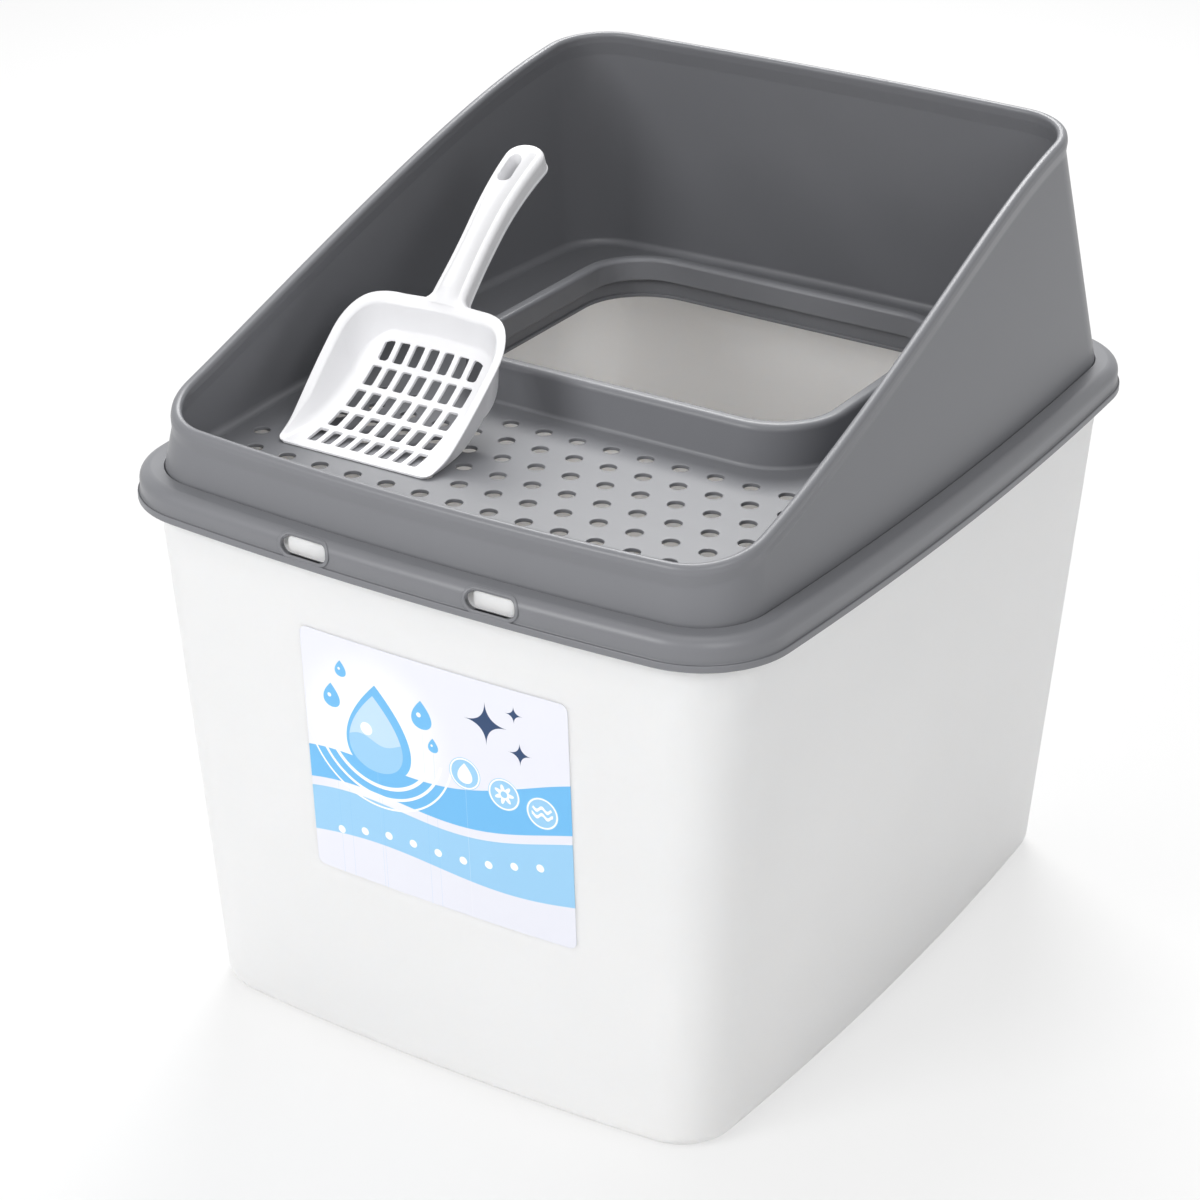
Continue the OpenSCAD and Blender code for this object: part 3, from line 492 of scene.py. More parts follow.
hoodShape = {"front": 27.0, "back": 155.0, "slope": 0.385, "middle": -46.0, "leanSide": 0.132, "leanFront": 0.236,
             "wall": 3.0, "rollOut": 2.0, "rollIn": 1.2, "roll": 8.0, "soft": 36.0, "pegLength": 14.0, "pegDrop": 5.0}


def hoodEdge(y):
    # height of the sloping edge: a straight slope held softly between its low and high ends
    s = hoodShape
    low, high = s["front"] - s["soft"] / 3, s["back"] + s["soft"] / 3
    slope = (low + high) / 2 + s["slope"] * (y - s["middle"])
    over = (slope + low + np.sqrt((slope - low) ** 2 + s["soft"] ** 2)) / 2
    return (over + high - np.sqrt((over - high) ** 2 + s["soft"] ** 2)) / 2


def hoodShell():
    # leaning walls from the foot's outline to the outline far up, cut off by the sloping edge;
    # a rolled bead follows that edge
    s = hoodShape
    foot = inset(lipLine, lidShape["land"] + 0.3)
    h = s["back"]
    top = np.array([foot[0] - s["leanSide"] * h, foot[1] - s["leanFront"] * h, foot[2], foot[3] / 2, foot[4] / 2])
    places, ways = outline(np.stack([foot, top]), 14, 20)
    rise = np.full(places.shape[1], s["front"])
    for _ in range(12):                                   # the edge's height where the wall meets it
        rise = hoodEdge(places[0, :, 1] + (places[1, :, 1] - places[0, :, 1]) * rise / h)
    wall, out, roll = s["wall"], s["rollOut"], s["roll"]
    lap = -wall - s["rollIn"]
    edge = roundedProfile([
        (0, -60, 0.1), (0, -roll - 4, 10), (out, -roll + 3, 6), (out, 0, 3.1), (lap, 0, 3.1), (lap, -roll + 1, 5),
        (-wall, -roll - 8, 12), (-wall, -60, 0.1)], steps=6, hold=0.15)[9:-9]
    # rows of share of the edge's height, distance outwards and distance up
    outer = [(0, 0, -4.0), (0, 0, 0.5)] + [(k, 0, -(roll + 7) * k) for k in np.linspace(0.08, 1, 9)]
    inner = [(k, -wall, -(roll + 16) * k) for k in np.linspace(1, 0.1, 9)]
    fillet = [(0, -wall - 5 * (1 - math.cos(t)), 5 * (1 - math.sin(t)) - 4.0 + 0.02)
              for t in np.linspace(0, math.pi / 2, 7)]
    rows = np.array(outer + [(1, x, z) for x, z in edge] + inner + fillet + [(0, -wall - 5, -4.0)])
    up = rows[:, :1] * rise[None] + rows[:, 2:]
    k = np.maximum(up, 0) / h
    xy = places[:1] + (places[1:] - places[:1]) * k[..., None] + ways[:1] * rows[:, 1, None, None]
    return shell(np.concatenate([xy, (box["landHeight"] + up)[..., None]], axis=2), wrapRows=True)


def snapPeg(x, y, turn):
    # a leg through the deck with a hook under it, as a section carried along its length
    s = hoodShape
    section = roundedProfile([(-0.8, 1, 0.1), (-0.8, -7.5, 0.3), (1.0, -7.5, 0.6), (1.6, -5.6, 0.3),
                              (1.6, -2.8, 0.2), (0.8, -2.8, 0.2), (0.8, 1, 0.1)], steps=2, hold=0.1)
    along = np.linspace(-s["pegLength"] / 2, s["pegLength"] / 2, 4)
    grid = np.stack(np.broadcast_arrays(along[:, None], section[None, :, 0], section[None, :, 1]), axis=-1)
    ends = [closeIn(grid[k], [(along[k], 0, -7), (along[k], 0, 0.5)], 1) for k in (0, -1)]
    grid = np.concatenate([ends[0][::-1], grid, ends[1]])
    c, n = math.cos(turn), math.sin(turn)
    spun = np.stack([grid[..., 0] * c - grid[..., 1] * n + x, grid[..., 0] * n + grid[..., 1] * c + y,
                     grid[..., 2] + box["deckHeight"]], axis=-1)
    return shell(spun)


def pegPlaces():
    foot = inset(lipLine, lidShape["land"] + 0.3)
    cy = foot[1] - foot[4] - foot[2]
    longSide = foot[2] + (cy ** 2 + foot[3] ** 2) / (2 * foot[3])
    sideX = foot[0] - longSide + math.sqrt(longSide ** 2 - 119.7 ** 2) - 1.5
    rows = [(sideX, y, math.pi / 2) for y in (-119.7, 119.7)]
    rows += [(x, frontAt(foot, x) - 1.5, math.pi) for x in (-111.75, 0, 111.75)]
    return rows + [(-x, -y, turn + math.pi) for x, y, turn in rows]


pegs = [snapPeg(*place) for place in pegPlaces()]
hoodPiece = addPiece("splash_hood", [hoodShell()] + pegs, "lid", greyPlastic)
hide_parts("hood")
print("hood made")


scoopShape = {"halfWidth": 59.75, "tipIn": 5.5, "tipRound": 4.5, "length": 99.5, "rearBow": 2.5, "cornerRound": 30.0,
              "thick": 2.4, "nose": 1.2, "floorBend": 129.0, "bendStart": 2.0, "slope": 0.85, "riseStart": 9.4,
              "lip": 1.2, "lipSlope": 0.3, "rimTop": 69.5, "flange": 5.7, "flangeThick": 1.7, "flatLength": 34.0,
              "lowRise": 0.0122, "footNear": 4.0, "footFar": 13.3, "footLean": 0.42, "rearShift": 9.0,
              "slotWidth": 7.0, "slotLength": 14.8, "slotPitch": 10.9, "firstSlot": 11.0, "slotGap": 4.2,
              "turn": 1.0, "x": -108.0, "y": -157.0, "z": 350.1}
handleShape = {"length": 123.0, "rise": 41.0, "endRise": 21.0, "straight": 56.0, "half": 12.25, "deep": 10.5,
               "endDeep": 13.5, "arch": 4.0, "shoulder": 4.0, "flare": 6.0, "holeAt": 96.0, "holeLength": 21.0,
               "holeWidth": 9.0, "sleeve": 1.8}


def softOver(a, b, s):
    # the larger of two, rounded where they meet: (a + b + sqrt((a - b)^2 + s^2)) / 2
    return (a + b + np.sqrt((a - b) ** 2 + s * s)) / 2


def placeScoop(grid):
    # turns the scoop and sets it on the deck
    s = scoopShape
    turn = math.radians(s["turn"])
    x, y, z = grid[..., 0], grid[..., 1], grid[..., 2]
    x, y = x * math.cos(turn) - y * math.sin(turn), x * math.sin(turn) + y * math.cos(turn)
    return np.stack([x + s["x"], y + s["y"], z + s["z"]], axis=-1)


def rimPath():
    # outer edge of the rim from the right tip to the left one: x = half - tipIn (1 - k)^2 along
    # the sides, quarter circles, and y = rear + bow (1 - k^2)^2 across the rear
    s = scoopShape
    r, tip = s["cornerRound"], s["tipRound"]
    cx, cy = s["halfWidth"] - r, s["length"] - s["rearBow"] - r
    y = cy * (1 - np.cos(np.linspace(0, np.pi / 2, 45)[:-1]))
    off = tip - np.sqrt(np.maximum(tip ** 2 - np.maximum(tip - y, 0) ** 2, 0))
    x = s["halfWidth"] - s["tipIn"] * (1 - y / cy) ** 2 - off
    t = np.linspace(0, np.pi / 2, 19)
    k = np.linspace(1, 0, 15)[1:]
    place = np.concatenate([
        np.stack([x, y], axis=1), np.stack([cx + r * np.cos(t), cy + r * np.sin(t)], axis=1),
        np.stack([cx * k, cy + r + s["rearBow"] * (1 - k ** 2) ** 2], axis=1)])
    way = np.concatenate([
        np.tile([1.0, 0.0], (len(x), 1)), np.stack([np.cos(t), np.sin(t)], axis=1), np.tile([0.0, 1.0], (14, 1))])
    mirror = np.array([-1, 1])
    return np.concatenate([place, place[-2::-1] * mirror]), np.concatenate([way, way[-2::-1] * mirror])


def rimRise(y):
    # a thin lip at the front, a straight rise, level at the rear
    s = scoopShape
    rise = softOver(s["slope"] * (y - s["riseStart"]), s["lip"] + s["lipSlope"] * y, 4.0)
    return -softOver(-rise, -s["rimTop"], 6.0)


def floorTop(y):
    # the floor's upper side is an arc: z = nose + bend - sqrt(bend^2 - (y + start)^2)
    s = scoopShape
    return s["nose"] + s["floorBend"] - np.sqrt(s["floorBend"] ** 2 - (y + s["bendStart"]) ** 2)


def scoopFoot(place, way):
    # how far inside the rim's edge the wall meets the floor
    s = scoopShape
    lean = s["footNear"] + s["footLean"] * (rimRise(place[:, 1]) - floorTop(place[:, 1]))
    bow = np.maximum(place[:, 1] - s["length"] + s["rearBow"], 0)
    return bow - softOver(-lean, np.full_like(lean, -s["footFar"]), 2.0) - s["rearShift"] * way[:, 1]


def scoopWall():
    # one closed section for each place on the rim: up the outside of the leaning wall, out
    # under the flange, over it, down the inside and in a fillet onto the floor
    s = scoopShape
    t = s["thick"]
    place, way = rimPath()
    rise, foot = rimRise(place[:, 1]), scoopFoot(place, way)
    full = np.clip(rise / 20, 0.1, 1)
    thin = np.clip(rise / 8, 0.3, 1)

    def level(d):
        # height of the floor's upper side, d mm inside the rim
        return floorTop(place[:, 1] - d * way[:, 1])

    tilt = s["slope"] * way[:, 1]
    y = place[:, 1] - foot * way[:, 1]
    low = s["lowRise"] * np.maximum(y - s["flatLength"], 0) ** 2
    low = np.maximum(np.minimum(low, level(foot) - 1.25 * t), 0)
    f = s["flange"] * full
    bend = 5.5 - 2.3 * way[:, 1]
    lap = foot + bend + 1.5
    under = np.maximum(f - t, 0.3)
    corners = [
        (foot - t, low, 0.6), (under, rise - (s["flangeThick"] + 0.5) * thin - tilt * under, 1.5 * thin),
        (0 * foot, rise - s["flangeThick"] * thin, 0.5), (0 * foot, rise, 0.8),
        (f, rise - 1.1 * full - tilt * f, 2.6 * full), (foot, level(foot) + 0.02, bend),
        (lap, level(lap) + 0.02, 0.1), (lap, np.maximum(level(lap) - 1.0, 0.2), 0.1),
        (foot + 0.8, np.maximum(level(foot) - 1.2, 0.3), 0.1), (foot, low, 0.6)]
    corners = np.stack([np.stack(np.broadcast_arrays(a, b, c), axis=-1) for a, b, c in corners], axis=1)
    section = roundedProfile(corners, steps=6, hold=0.15)
    xy = place[:, None] - way[:, None] * section[..., :1]
    grid = np.concatenate([xy, section[..., 1:]], axis=2)
    ends = [closeIn(grid[k], [grid[k].mean(0) + [3, 0, 0], grid[k].mean(0) - [3, 0, 0]], 1) for k in (0, -1)]
    return shell(placeScoop(np.concatenate([ends[0][::-1], grid, ends[1]])))


def scoopBlade():
    # a flat slotted plate cut into strips and bent: y = (bend + d) sin(s / bend) - start and
    # z = nose + bend - (bend + d) cos(s / bend), for d mm under its top and s mm along it
    s = scoopShape
    place, way = rimPath()
    rim = place - way * (scoopFoot(place, way) + 1.5)[:, None]
    rim[:, 1] = s["floorBend"] * np.arcsin((rim[:, 1] + s["bendStart"]) / s["floorBend"])
    slots = []
    for row in range(5):
        count = 8 if row == 0 else 7
        pitch = s["slotPitch"] * (0.94 if row == 0 else 1.04 - 0.02 * (row - 1))
        middle = s["firstSlot"] + s["slotLength"] / 2 + row * (s["slotLength"] + s["slotGap"])
        for i in range(count):
            ends = 2.2 if row == 4 and i in (0, count - 1) else 1.3
            width = s["slotWidth"] - (0.3 if row == 0 else 0)
            slot = roundedRect(width, s["slotLength"], ends, cornerSteps=4, sideSteps=1)[0]
            slots.append(slot + [(i - (count - 1) / 2) * pitch, middle])
    points, cells = plate([rim] + slots, -s["thick"], 0, 0.45, 2)
    points, cells = strips(points, cells, np.arange(4, 104, 4.0))
    a, d = points[:, 1] / s["floorBend"], s["floorBend"] - points[:, 2]
    z = s["nose"] + s["floorBend"] - d * np.cos(a)
    bent = np.stack([points[:, 0], d * np.sin(a) - s["bendStart"], np.maximum(z, 0)], axis=-1)
    return placeScoop(bent), cells


def crownPlace(along):
    # the crown line runs straight at the root's rise and then bends evenly to the end's rise;
    # place (y, z) and rise at a distance along it, summed from 0.5 mm steps
    h = handleShape
    s = np.arange(-12, h["length"] + 12, 0.5)
    share = np.clip((s - h["straight"]) / (h["length"] - h["straight"]), 0, None)
    rise = np.radians(h["rise"] + (h["endRise"] - h["rise"]) * share)
    y, z = np.cumsum(np.cos(rise)) * 0.5, np.cumsum(np.sin(rise)) * 0.5
    start = scoopShape["length"], rimRise(scoopShape["length"]) - 0.3
    y, z = y - np.interp(0, s, y) + start[0], z - np.interp(0, s, z) + start[1]
    return np.interp(along, s, y), np.interp(along, s, z), np.interp(along, s, rise)


def bendHandle(grid):
    # (x, distance along the crown line, height over the rim's plane) to the scoop's place
    y, z, rise = crownPlace(grid[..., 1])
    up = grid[..., 2]
    return placeScoop(np.stack([grid[..., 0], y - up * np.sin(rise), z + up * np.cos(rise)], axis=-1))


def handleOutline():
    # half width: quarter-circle flares at the root, a waist, and an end rounded like an ellipse
    h = handleShape
    a = np.linspace(0, np.pi / 2, 21)
    end, tail = h["length"], 13.0
    s = np.concatenate([
        [-5.0, -2.0], np.linspace(0, 8, 17)[:-1], np.linspace(8, end - tail, 44)[:-1], end - tail + tail * np.sin(a)])
    k = np.clip(s / end, 0, 1)
    width = h["half"] * (1.0 - 0.22 * np.sin(np.pi * k) ** 1.2 * (1 - k) + 0.10 * k ** 2)
    width = width * np.sqrt(np.clip(1 - (np.clip(s - end + tail, 0, None) / tail) ** 2.2, 0, 1))
    flare = np.clip(1 - s / h["flare"], 0, 1)
    width = width + h["flare"] * (1 - np.sqrt(1 - flare ** 2 * 0.98))
    side = np.stack([width, s], axis=1)
    loop = np.concatenate([side, side[-2::-1] * [-1, 1]])
    step = np.roll(loop, -1, axis=0) - np.roll(loop, 1, axis=0)
    step[0], step[-1] = (0, 1), (0, -1)
    step = step / np.linalg.norm(step, axis=1)[:, None]
    return loop, np.stack([step[:, 1], -step[:, 0]], axis=1)


def scoopHandle():
    # a channel that is open below: side walls with a beaded lower edge carried round the
    # outline, a rounded shoulder, and a top that arches up to its crown line
    h = handleShape
    t, r = scoopShape["thick"], h["shoulder"]
    loop, way = handleOutline()
    k = np.clip(loop[:, 1] / h["length"], 0, 1)
    deep = h["deep"] + (h["endDeep"] - h["deep"]) * k ** 2
    blend = np.clip((loop[:, 1] + 5) / 14, 0, 1)
    arch = h["arch"] * blend * blend * (3 - 2 * blend)
    edge = -0.4 - 0.6 * (1 - blend)
    a = np.linspace(0, np.pi / 2, 9)
    # rows of distance inwards, height over the side's edge, and share of the depth
    side = [(t, 0.5, 1), (t - 0.4, 0.0, 1), (-0.1, 0.0, 1), (-0.35, 0.3, 1), (-0.35, 1.3, 1), (-0.05, 1.7, 1),
            (0, 2.1, 1)]
    side += [(0, -r - 0.2, 0)] + [(r * (1 - math.cos(v)), -r * (1 - math.sin(v)), 0) for v in a]
    hollow = [(r + 1.5, -t, 0), (t + 1.2, -t - 0.6, 0), (t, -t - 2.4, 0), (t, 0.9, 1)]

    def rows(table):
        table = np.array(table)
        xy = loop[None] - way[None] * table[:, 0, None, None]
        up = edge[None] + table[:, 1:2] - table[:, 2:] * deep[None]
        return np.concatenate([xy, up[..., None]], axis=2)

    def spine(ring, steps, drop):
        # rows from a ring to the middle line, rising as a parabola to the arch's height
        grid = closeIn(ring, [(0, -5, 0), (0, h["length"] - 12, 0)], steps)
        share = np.linspace(0, 1, steps + 1)[1:, None]
        grid[..., 2] = ring[None, :, 2] + (arch + 0.4 - drop) * (1 - (1 - share) ** 2)
        return grid

    outer, inner = rows(side), rows(hollow)
    grid = np.concatenate([spine(inner[0], 3, 1.0)[::-1], inner, outer, spine(outer[-1], 6, 0.0)])
    return shell(bendHandle(grid))


def hangingHole(profile):
    # rows of (distance outwards, height) round the obround hanging hole
    h = handleShape
    place, way = roundedRect(h["holeWidth"], h["holeLength"], h["holeWidth"] / 2 - 0.02, cornerSteps=12)
    return carry(place + [0, h["holeAt"]], way, profile)


def hangingCutter():
    h = handleShape
    grid = hangingHole([(1.6, 8.0), (1.3, 5.2), (0.75, 4.0), (0.3, 3.0), (0.1, 2.0), (0.05, 0.5), (0.05, -20.0)])
    middle = [[(0, h["holeAt"] + y, grid[k, 0, 2]) for y in (-5, 5)] for k in (0, -1)]
    ends = [closeIn(grid[k], middle[k], 1) for k in (0, -1)]
    return shell(bendHandle(np.concatenate([ends[0][::-1], grid, ends[1]])))


def hangingSleeve():
    # a wall round the hole inside the channel
    w = handleShape["sleeve"]
    section = [(0, 0.6), (0, -9.4), (0.3, -9.8), (w - 0.3, -9.8), (w, -9.4), (w, 0.6)]
    return shell(bendHandle(hangingHole(section)), wrapRows=True)


scoopPiece = addPiece("scoop_blade", [scoopWall(), scoopBlade()], "scoop", scoopPlastic)
handlePiece = addPiece("scoop_handle", [scoopHandle()], "scoop", scoopPlastic)
cut(handlePiece, [hangingCutter()])
sleevePiece = addPiece("scoop_hanging_sleeve", [hangingSleeve()], "scoop", scoopPlastic)
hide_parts("scoop")
print("scoop made")


labelShape = {"width": 182.0, "height": 163.0, "round": 5.0, "x": 12.0, "z": 208.0, "gap": 0.1, "thick": 0.3}


def labelSheet():
    # rows up the label, each as wide as its rounded corners leave, laid on the bin's front
    s = labelShape
    w, h, r = s["width"] / 2, s["height"] / 2, s["round"]
    bend = np.linspace(0, np.pi / 2, 9)
    low = -h + r * (1 - np.sin(bend))[::-1]
    lowHalf = (w - r * (1 - np.cos(bend)))[::-1]
    rows = np.concatenate([low, np.linspace(-h + r, h - r, 14)[1:-1], -low[::-1]])
    halves = np.concatenate([lowHalf, np.full(12, w), lowHalf[::-1]])
    across = np.linspace(-1, 1, 41)
    x = s["x"] + halves[:, None] * across[None]
    z = s["z"] + rows[:, None] + 0 * x
    skins = []
    for off in (s["gap"] + s["thick"], s["gap"]):
        y = -frontAt(wallLine(z) + off * np.array([1, 1, 1, 0, 0]), x)
        skins.append(np.stack([x, y, z], axis=-1))
    return skins, rows, halves


def buildLabel(material):
    skins, rows, halves = labelSheet()
    m, n = skins[0].shape[:2]
    front = quads(m, n, False, False)
    back = front[:, ::-1] + m * n
    ring = np.concatenate([
        np.arange(n), np.arange(1, m) * n + n - 1, (m - 1) * n + np.arange(n - 2, -1, -1), np.arange(m - 2, 0, -1) * n])
    nxt = np.roll(ring, -1)
    edge = np.stack([ring, ring + m * n, nxt + m * n, nxt], axis=1)
    points = np.concatenate([s.reshape(-1, 3) for s in skins])
    cells = np.concatenate([front, back, edge])
    piece = addPiece("front_label_print", [(points, cells)], "bin", material)
    layer = piece.data.uv_layers.new(name="print")
    loops = np.empty(len(piece.data.loops), int)
    piece.data.loops.foreach_get("vertex_index", loops)
    where = np.empty(len(piece.data.vertices) * 3)
    piece.data.vertices.foreach_get("co", where)
    where = where.reshape(-1, 3) / mm
    u = (where[:, 0] - labelShape["x"]) / labelShape["width"] + 0.5
    v = (where[:, 2] - labelShape["z"]) / labelShape["height"] + 0.5
    layer.data.foreach_set("uv", np.stack([u[loops], v[loops]], axis=1).astype(np.float32).ravel())
    return piece


printLook = {"ground": "#e6e7f0", "band": "#6db9ec", "paleBand": "#98cbee", "ink": "#1f3f69", "white": "#fbfcff",
             "softBlue": "#bfdcf2", "rough": 0.28}


def printedFilm(name, look):
    # printed film under a clear gloss coat: flat inks in crisp areas, drawn from the label's own map in mm
    material, tree = emptyMaterial(name)
    uv = addNode(tree, "ShaderNodeUVMap", {"uv_map": "print"})
    inMm = addNode(tree, "ShaderNodeVectorMath", {"operation": "MULTIPLY"}, {
        0: uv.outputs[0], 1: (labelShape["width"], labelShape["height"], 1.0)}).outputs[0]
    split = addNode(tree, "ShaderNodeSeparateXYZ", None, {0: inMm})
    px, py = split.outputs[0], split.outputs[1]

    def calc(operation, a, b=0.0, c=0.0):
        return addNode(tree, "ShaderNodeMath", {"operation": operation}, {0: a, 1: b, 2: c}).outputs[0]

    def soft(distance, width=0.12):
        # 1 where the distance is below zero, with an edge as fine as a printed one
        return addNode(tree, "ShaderNodeMapRange", None, {
            "Value": distance, "From Min": width, "From Max": -width}).outputs[0]

    def ink(below, mask, code, strength=1.0):
        share = mask if strength == 1.0 else calc("MULTIPLY", mask, strength)
        return addNode(tree, "ShaderNodeMix", {"data_type": "RGBA"}, {0: share, 6: below, 7: linear(code)}).outputs[2]

    def fromMiddle(x, y):
        return addNode(tree, "ShaderNodeVectorMath", {"operation": "DISTANCE"}, {0: inMm, 1: (x, y, 0.0)}).outputs[1]

    def disc(x, y, r):
        return soft(calc("SUBTRACT", fromMiddle(x, y), r))

    def ringMask(x, y, r, width):
        return soft(calc("SUBTRACT", calc("ABSOLUTE", calc("SUBTRACT", fromMiddle(x, y), r)), width / 2))

    def both(a, b):
        return calc("MULTIPLY", a, b)

    def wave(level, height, length, shift, tilt):
        # height of a wavy line across the label
        swing = calc("SINE", calc("MULTIPLY_ADD", px, 2 * math.pi / length, shift))
        return calc("ADD", calc("MULTIPLY_ADD", px, tilt, level), calc("MULTIPLY", swing, height))

    def between(low, high):
        return both(soft(calc("SUBTRACT", low, py)), soft(calc("SUBTRACT", py, high)))

    def drop(x, y, r):
        # widest a third of the way up, pointed at the top
        t = calc("DIVIDE", calc("SUBTRACT", py, y - 1.3 * r), 2.7 * r)
        inside = calc("MAXIMUM", t, 0.0)
        width = calc("MULTIPLY", calc("SQRT", inside), calc("MULTIPLY", calc("SUBTRACT", 1.0, t), r / 0.385))
        return soft(calc("SUBTRACT", calc("ABSOLUTE", calc("SUBTRACT", px, x)), width))

    def sparkle(x, y, r):
        # four points: the square roots of the two distances add up to the root of its reach
        ax = calc("SQRT", calc("ABSOLUTE", calc("SUBTRACT", px, x)))
        ay = calc("SQRT", calc("ABSOLUTE", calc("SUBTRACT", py, y)))
        return soft(calc("SUBTRACT", calc("ADD", ax, ay), math.sqrt(r)), 0.04)

    def bloom(x, y, r, petals):
        # a round shape whose reach swings with the angle
        angle = calc("ARCTAN2", calc("SUBTRACT", py, y), calc("SUBTRACT", px, x))
        reach = calc("MULTIPLY_ADD", calc("COSINE", calc("MULTIPLY", angle, float(petals))), 0.24 * r, 0.76 * r)
        return soft(calc("SUBTRACT", fromMiddle(x, y), reach))

    # ground, with a pale glow behind the picture on the left
    glow = addNode(tree, "ShaderNodeMapRange", {"interpolation_type": "SMOOTHSTEP"}, {
        "Value": fromMiddle(48, 104), "From Min": 62.0, "From Max": 20.0}).outputs[0]
    colour = ink(linear(look["ground"]), glow, look["white"])
    # two wavy bands sweep across under the picture
    colour = ink(colour, between(wave(22, 5.0, 210, 0.4, 0.05), wave(50, 6.0, 190, 0.9, 0.10)), look["paleBand"])
    colour = ink(colour, between(wave(56, 6.0, 190, 0.9, 0.10), wave(76, 7.0, 200, 1.5, 0.16)), look["band"])
    # the picture: a large falling drop with a lit side, ripples under it and small drops beside it
    for r, width in ((38, 2.4), (45, 1.8), (52, 1.2)):
        under = soft(calc("SUBTRACT", py, wave(92, 0.0, 100, 0.0, 0.05)))
        colour = ink(colour, both(ringMask(52, 108, r, width), under), look["white"])
    colour = ink(colour, drop(52, 106, 23), look["band"])
    colour = ink(colour, drop(50, 104, 19), look["softBlue"])
    filled = both(drop(50, 104, 19), soft(calc("SUBTRACT", py, wave(99, 2.5, 34, 0.6, 0.03))))
    colour = ink(colour, filled, look["paleBand"])
    colour = ink(colour, disc(44, 107, 4.2), look["white"])
    for x, y, r in ((20, 122, 6), (84, 128, 7), (28, 142, 4), (91, 110, 3.5)):
        colour = ink(colour, drop(x, y, r), look["band"])
        colour = ink(colour, disc(x - 0.25 * r, y, 0.22 * r), look["white"])
    # dark sparkles stand at the upper right
    for x, y, r in ((128, 136, 15), (150, 122, 8), (147, 147, 6)):
        colour = ink(colour, sparkle(x, y, r), look["ink"])
    # three round signs step down the right side
    for x, y in ((112, 98), (138, 92), (163, 87)):
        colour = ink(colour, disc(x, y, 10.5), look["paleBand"])
        colour = ink(colour, ringMask(x, y, 9.6, 1.0), look["white"])
    colour = ink(colour, drop(112, 98, 5.0), look["white"])
    colour = ink(colour, bloom(138, 92, 6.6, 7), look["white"])
    colour = ink(colour, disc(138, 92, 2.2), look["paleBand"])
    for low in (84, 88.4):
        ripple = between(wave(low, 1.2, 7, 0.0, 0.0), wave(low + 2.2, 1.2, 7, 0.0, 0.0))
        colour = ink(colour, both(disc(163, 87, 7.0), ripple), look["white"])
    # small dots run along the pale band
    for k in range(9):
        colour = ink(colour, disc(20 + 17.5 * k, 30 + 2.1 * k + 3 * math.sin(0.9 * k), 2.6), look["white"])
    surface = addNode(tree, "ShaderNodeBsdfPrincipled", None, {
        "Base Color": colour, "Roughness": look["rough"], "IOR": 1.5})
    addNode(tree, "ShaderNodeOutputMaterial", None, {"Surface": surface.outputs[0]})
    return material


labelPiece = buildLabel(printedFilm("printed label film", printLook))
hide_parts("front_label")
print("label made")


stageLook = {"floor": "#f4f4f4", "dim": 0.36, "shown": 0.57, "world": 0.35}
lights = {"key": ((-0.9, -2.6, 1.7), 1.4, 40.0), "fill": ((1.9, -1.6, 1.7), 1.4, 20.0),
          "top": ((0.0, -0.1, 3.2), 2.0, 15.0), "back": ((-0.9, 1.6, 2.3), 1.4, 56.0)}  # place, size, power


def seenRays(tree):
    # 1 for rays that come from the camera, off a gloss or through a clear body
    path = addNode(tree, "ShaderNodeLightPath")
    seen = path.outputs["Is Camera Ray"]
    for ray in ("Is Glossy Ray", "Is Transmission Ray"):
        seen = addNode(tree, "ShaderNodeMath", {"operation": "MAXIMUM"}, {0: seen, 1: path.outputs[ray]}).outputs[0]
    return seen


def paleSurface(name, look):
    # a matt floor that keeps shadows; seen directly or in a reflection it is lifted to white
    material, tree = emptyMaterial(name)
    matt = addNode(tree, "ShaderNodeBsdfDiffuse", None, {"Color": linear(look["floor"])})
    dim = addNode(tree, "ShaderNodeBsdfDiffuse", None, {"Color": (look["dim"],) * 3 + (1.0,)})
    lift = addNode(tree, "ShaderNodeEmission", None, {"Color": (1, 1, 1, 1), "Strength": look["shown"]})
    shown = addNode(tree, "ShaderNodeAddShader", None, {0: dim.outputs[0], 1: lift.outputs[0]})
    mixed = addNode(tree, "ShaderNodeMixShader", None, {0: seenRays(tree), 1: matt.outputs[0], 2: shown.outputs[0]})
    addNode(tree, "ShaderNodeOutputMaterial", None, {"Surface": mixed.outputs[0]})
    return material


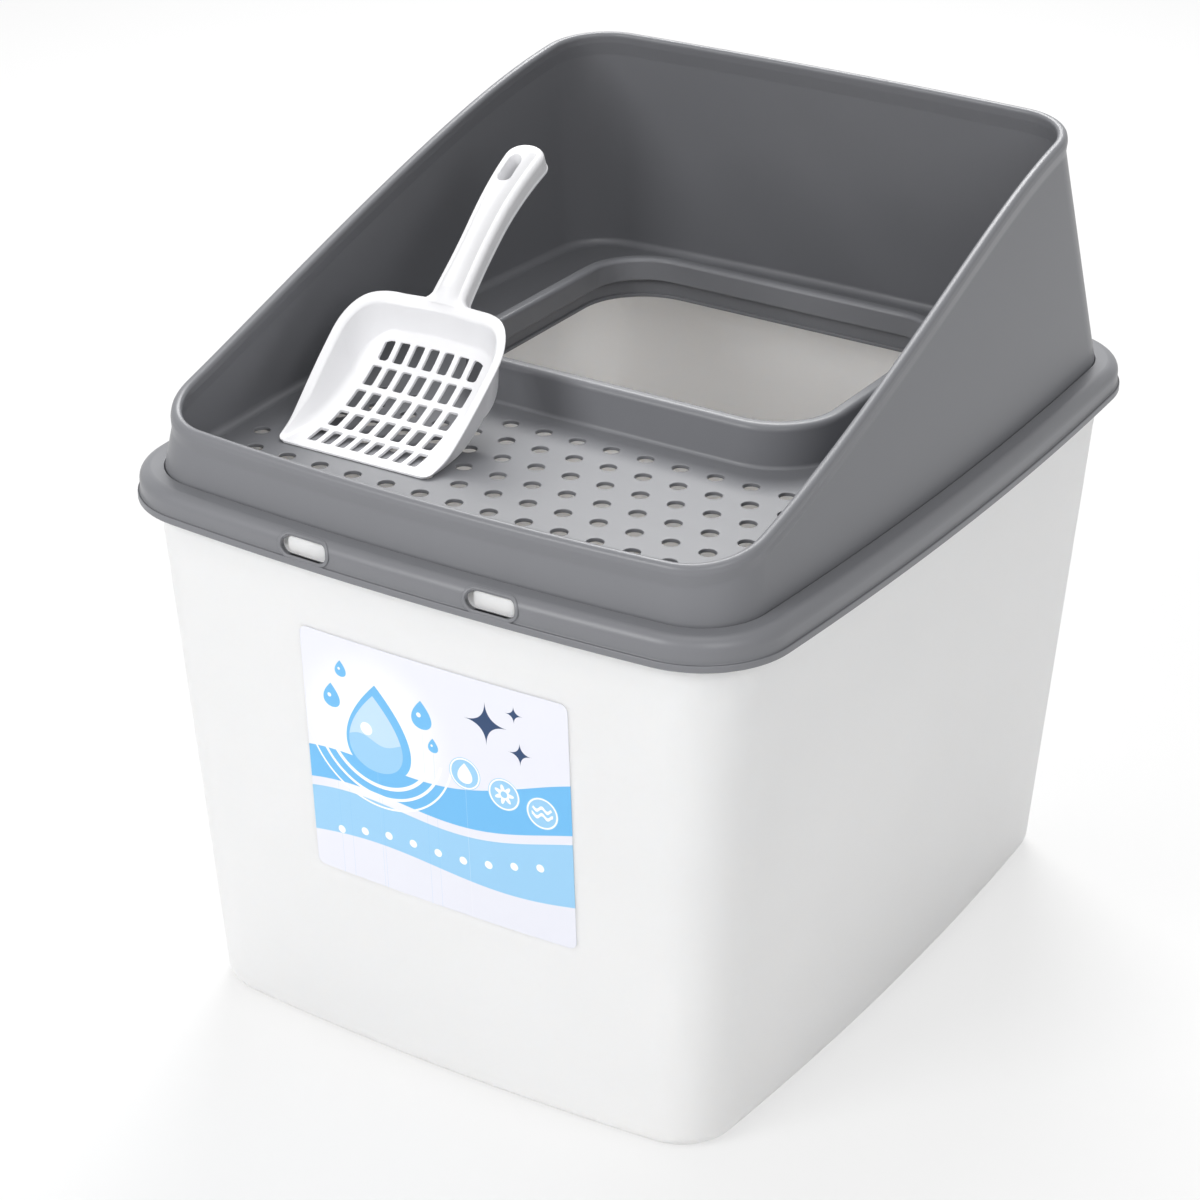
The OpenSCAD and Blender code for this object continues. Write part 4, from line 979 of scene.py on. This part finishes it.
def buildStage(look):
    floor = bpy.data.meshes.new("floor")
    floor.from_pydata([(-12, -12, 0), (12, -12, 0), (12, 12, 0), (-12, 12, 0)], [], [(0, 1, 2, 3)])
    floor.materials.append(paleSurface("matt studio floor", look))
    ground = bpy.data.objects.new("floor", floor)
    bpy.context.scene.collection.objects.link(ground)
    world = bpy.data.worlds.new("studio")
    bpy.context.scene.world = world
    world.use_nodes = True
    tree = world.node_tree
    tree.nodes.clear()
    strength = addNode(tree, "ShaderNodeMapRange", None, {
        "Value": seenRays(tree), "To Min": look["world"], "To Max": 1.0})
    sky = addNode(tree, "ShaderNodeBackground", None, {"Color": (1, 1, 1, 1), "Strength": strength.outputs[0]})
    addNode(tree, "ShaderNodeOutputWorld", None, {"Surface": sky.outputs[0]})


def areaLight(name, place, aim, size, power):
    lamp = bpy.data.lights.new(name, "AREA")
    lamp.shape, lamp.size, lamp.energy = "DISK", size, power
    holder = bpy.data.objects.new(name, lamp)
    bpy.context.scene.collection.objects.link(holder)
    way = Vector(place) - Vector(aim)
    holder.matrix_world = Matrix.Translation(place) @ way.to_track_quat("Z", "Y").to_matrix().to_4x4()
    return holder


buildStage(stageLook)
for name, (place, size, power) in lights.items():
    areaLight(name, place, (0, 0, 0.3), size, power)

view = {"azimuth": 32.34, "elevation": 26.54, "roll": 0.30, "place": (961.2, -1571.1, 1141.4),
        "focal": 3283.47, "frame": 1200}


def buildCamera(s):
    # looks along minus its back axis; roll tips its right axis up
    az, el, roll = (math.radians(s[k]) for k in ("azimuth", "elevation", "roll"))
    back = Vector((math.sin(az) * math.cos(el), -math.cos(az) * math.cos(el), math.sin(el)))
    right = Vector((math.cos(az), math.sin(az), 0))
    up = back.cross(right)
    tipped = right * math.cos(roll) + up * math.sin(roll)
    top = back.cross(tipped)
    data = bpy.data.cameras.new("camera")
    data.sensor_fit, data.sensor_width = "HORIZONTAL", 36.0
    data.lens = s["focal"] / s["frame"] * data.sensor_width
    data.clip_start, data.clip_end = 0.05, 60
    camera = bpy.data.objects.new("camera", data)
    bpy.context.scene.collection.objects.link(camera)
    turned = Matrix((tipped, top, back)).transposed().to_4x4()
    camera.matrix_world = Matrix.Translation(Vector(s["place"]) * mm) @ turned
    bpy.context.scene.camera = camera


buildCamera(view)
bpy.context.scene.view_settings.view_transform = "Standard"
print("stage, lights and camera set")
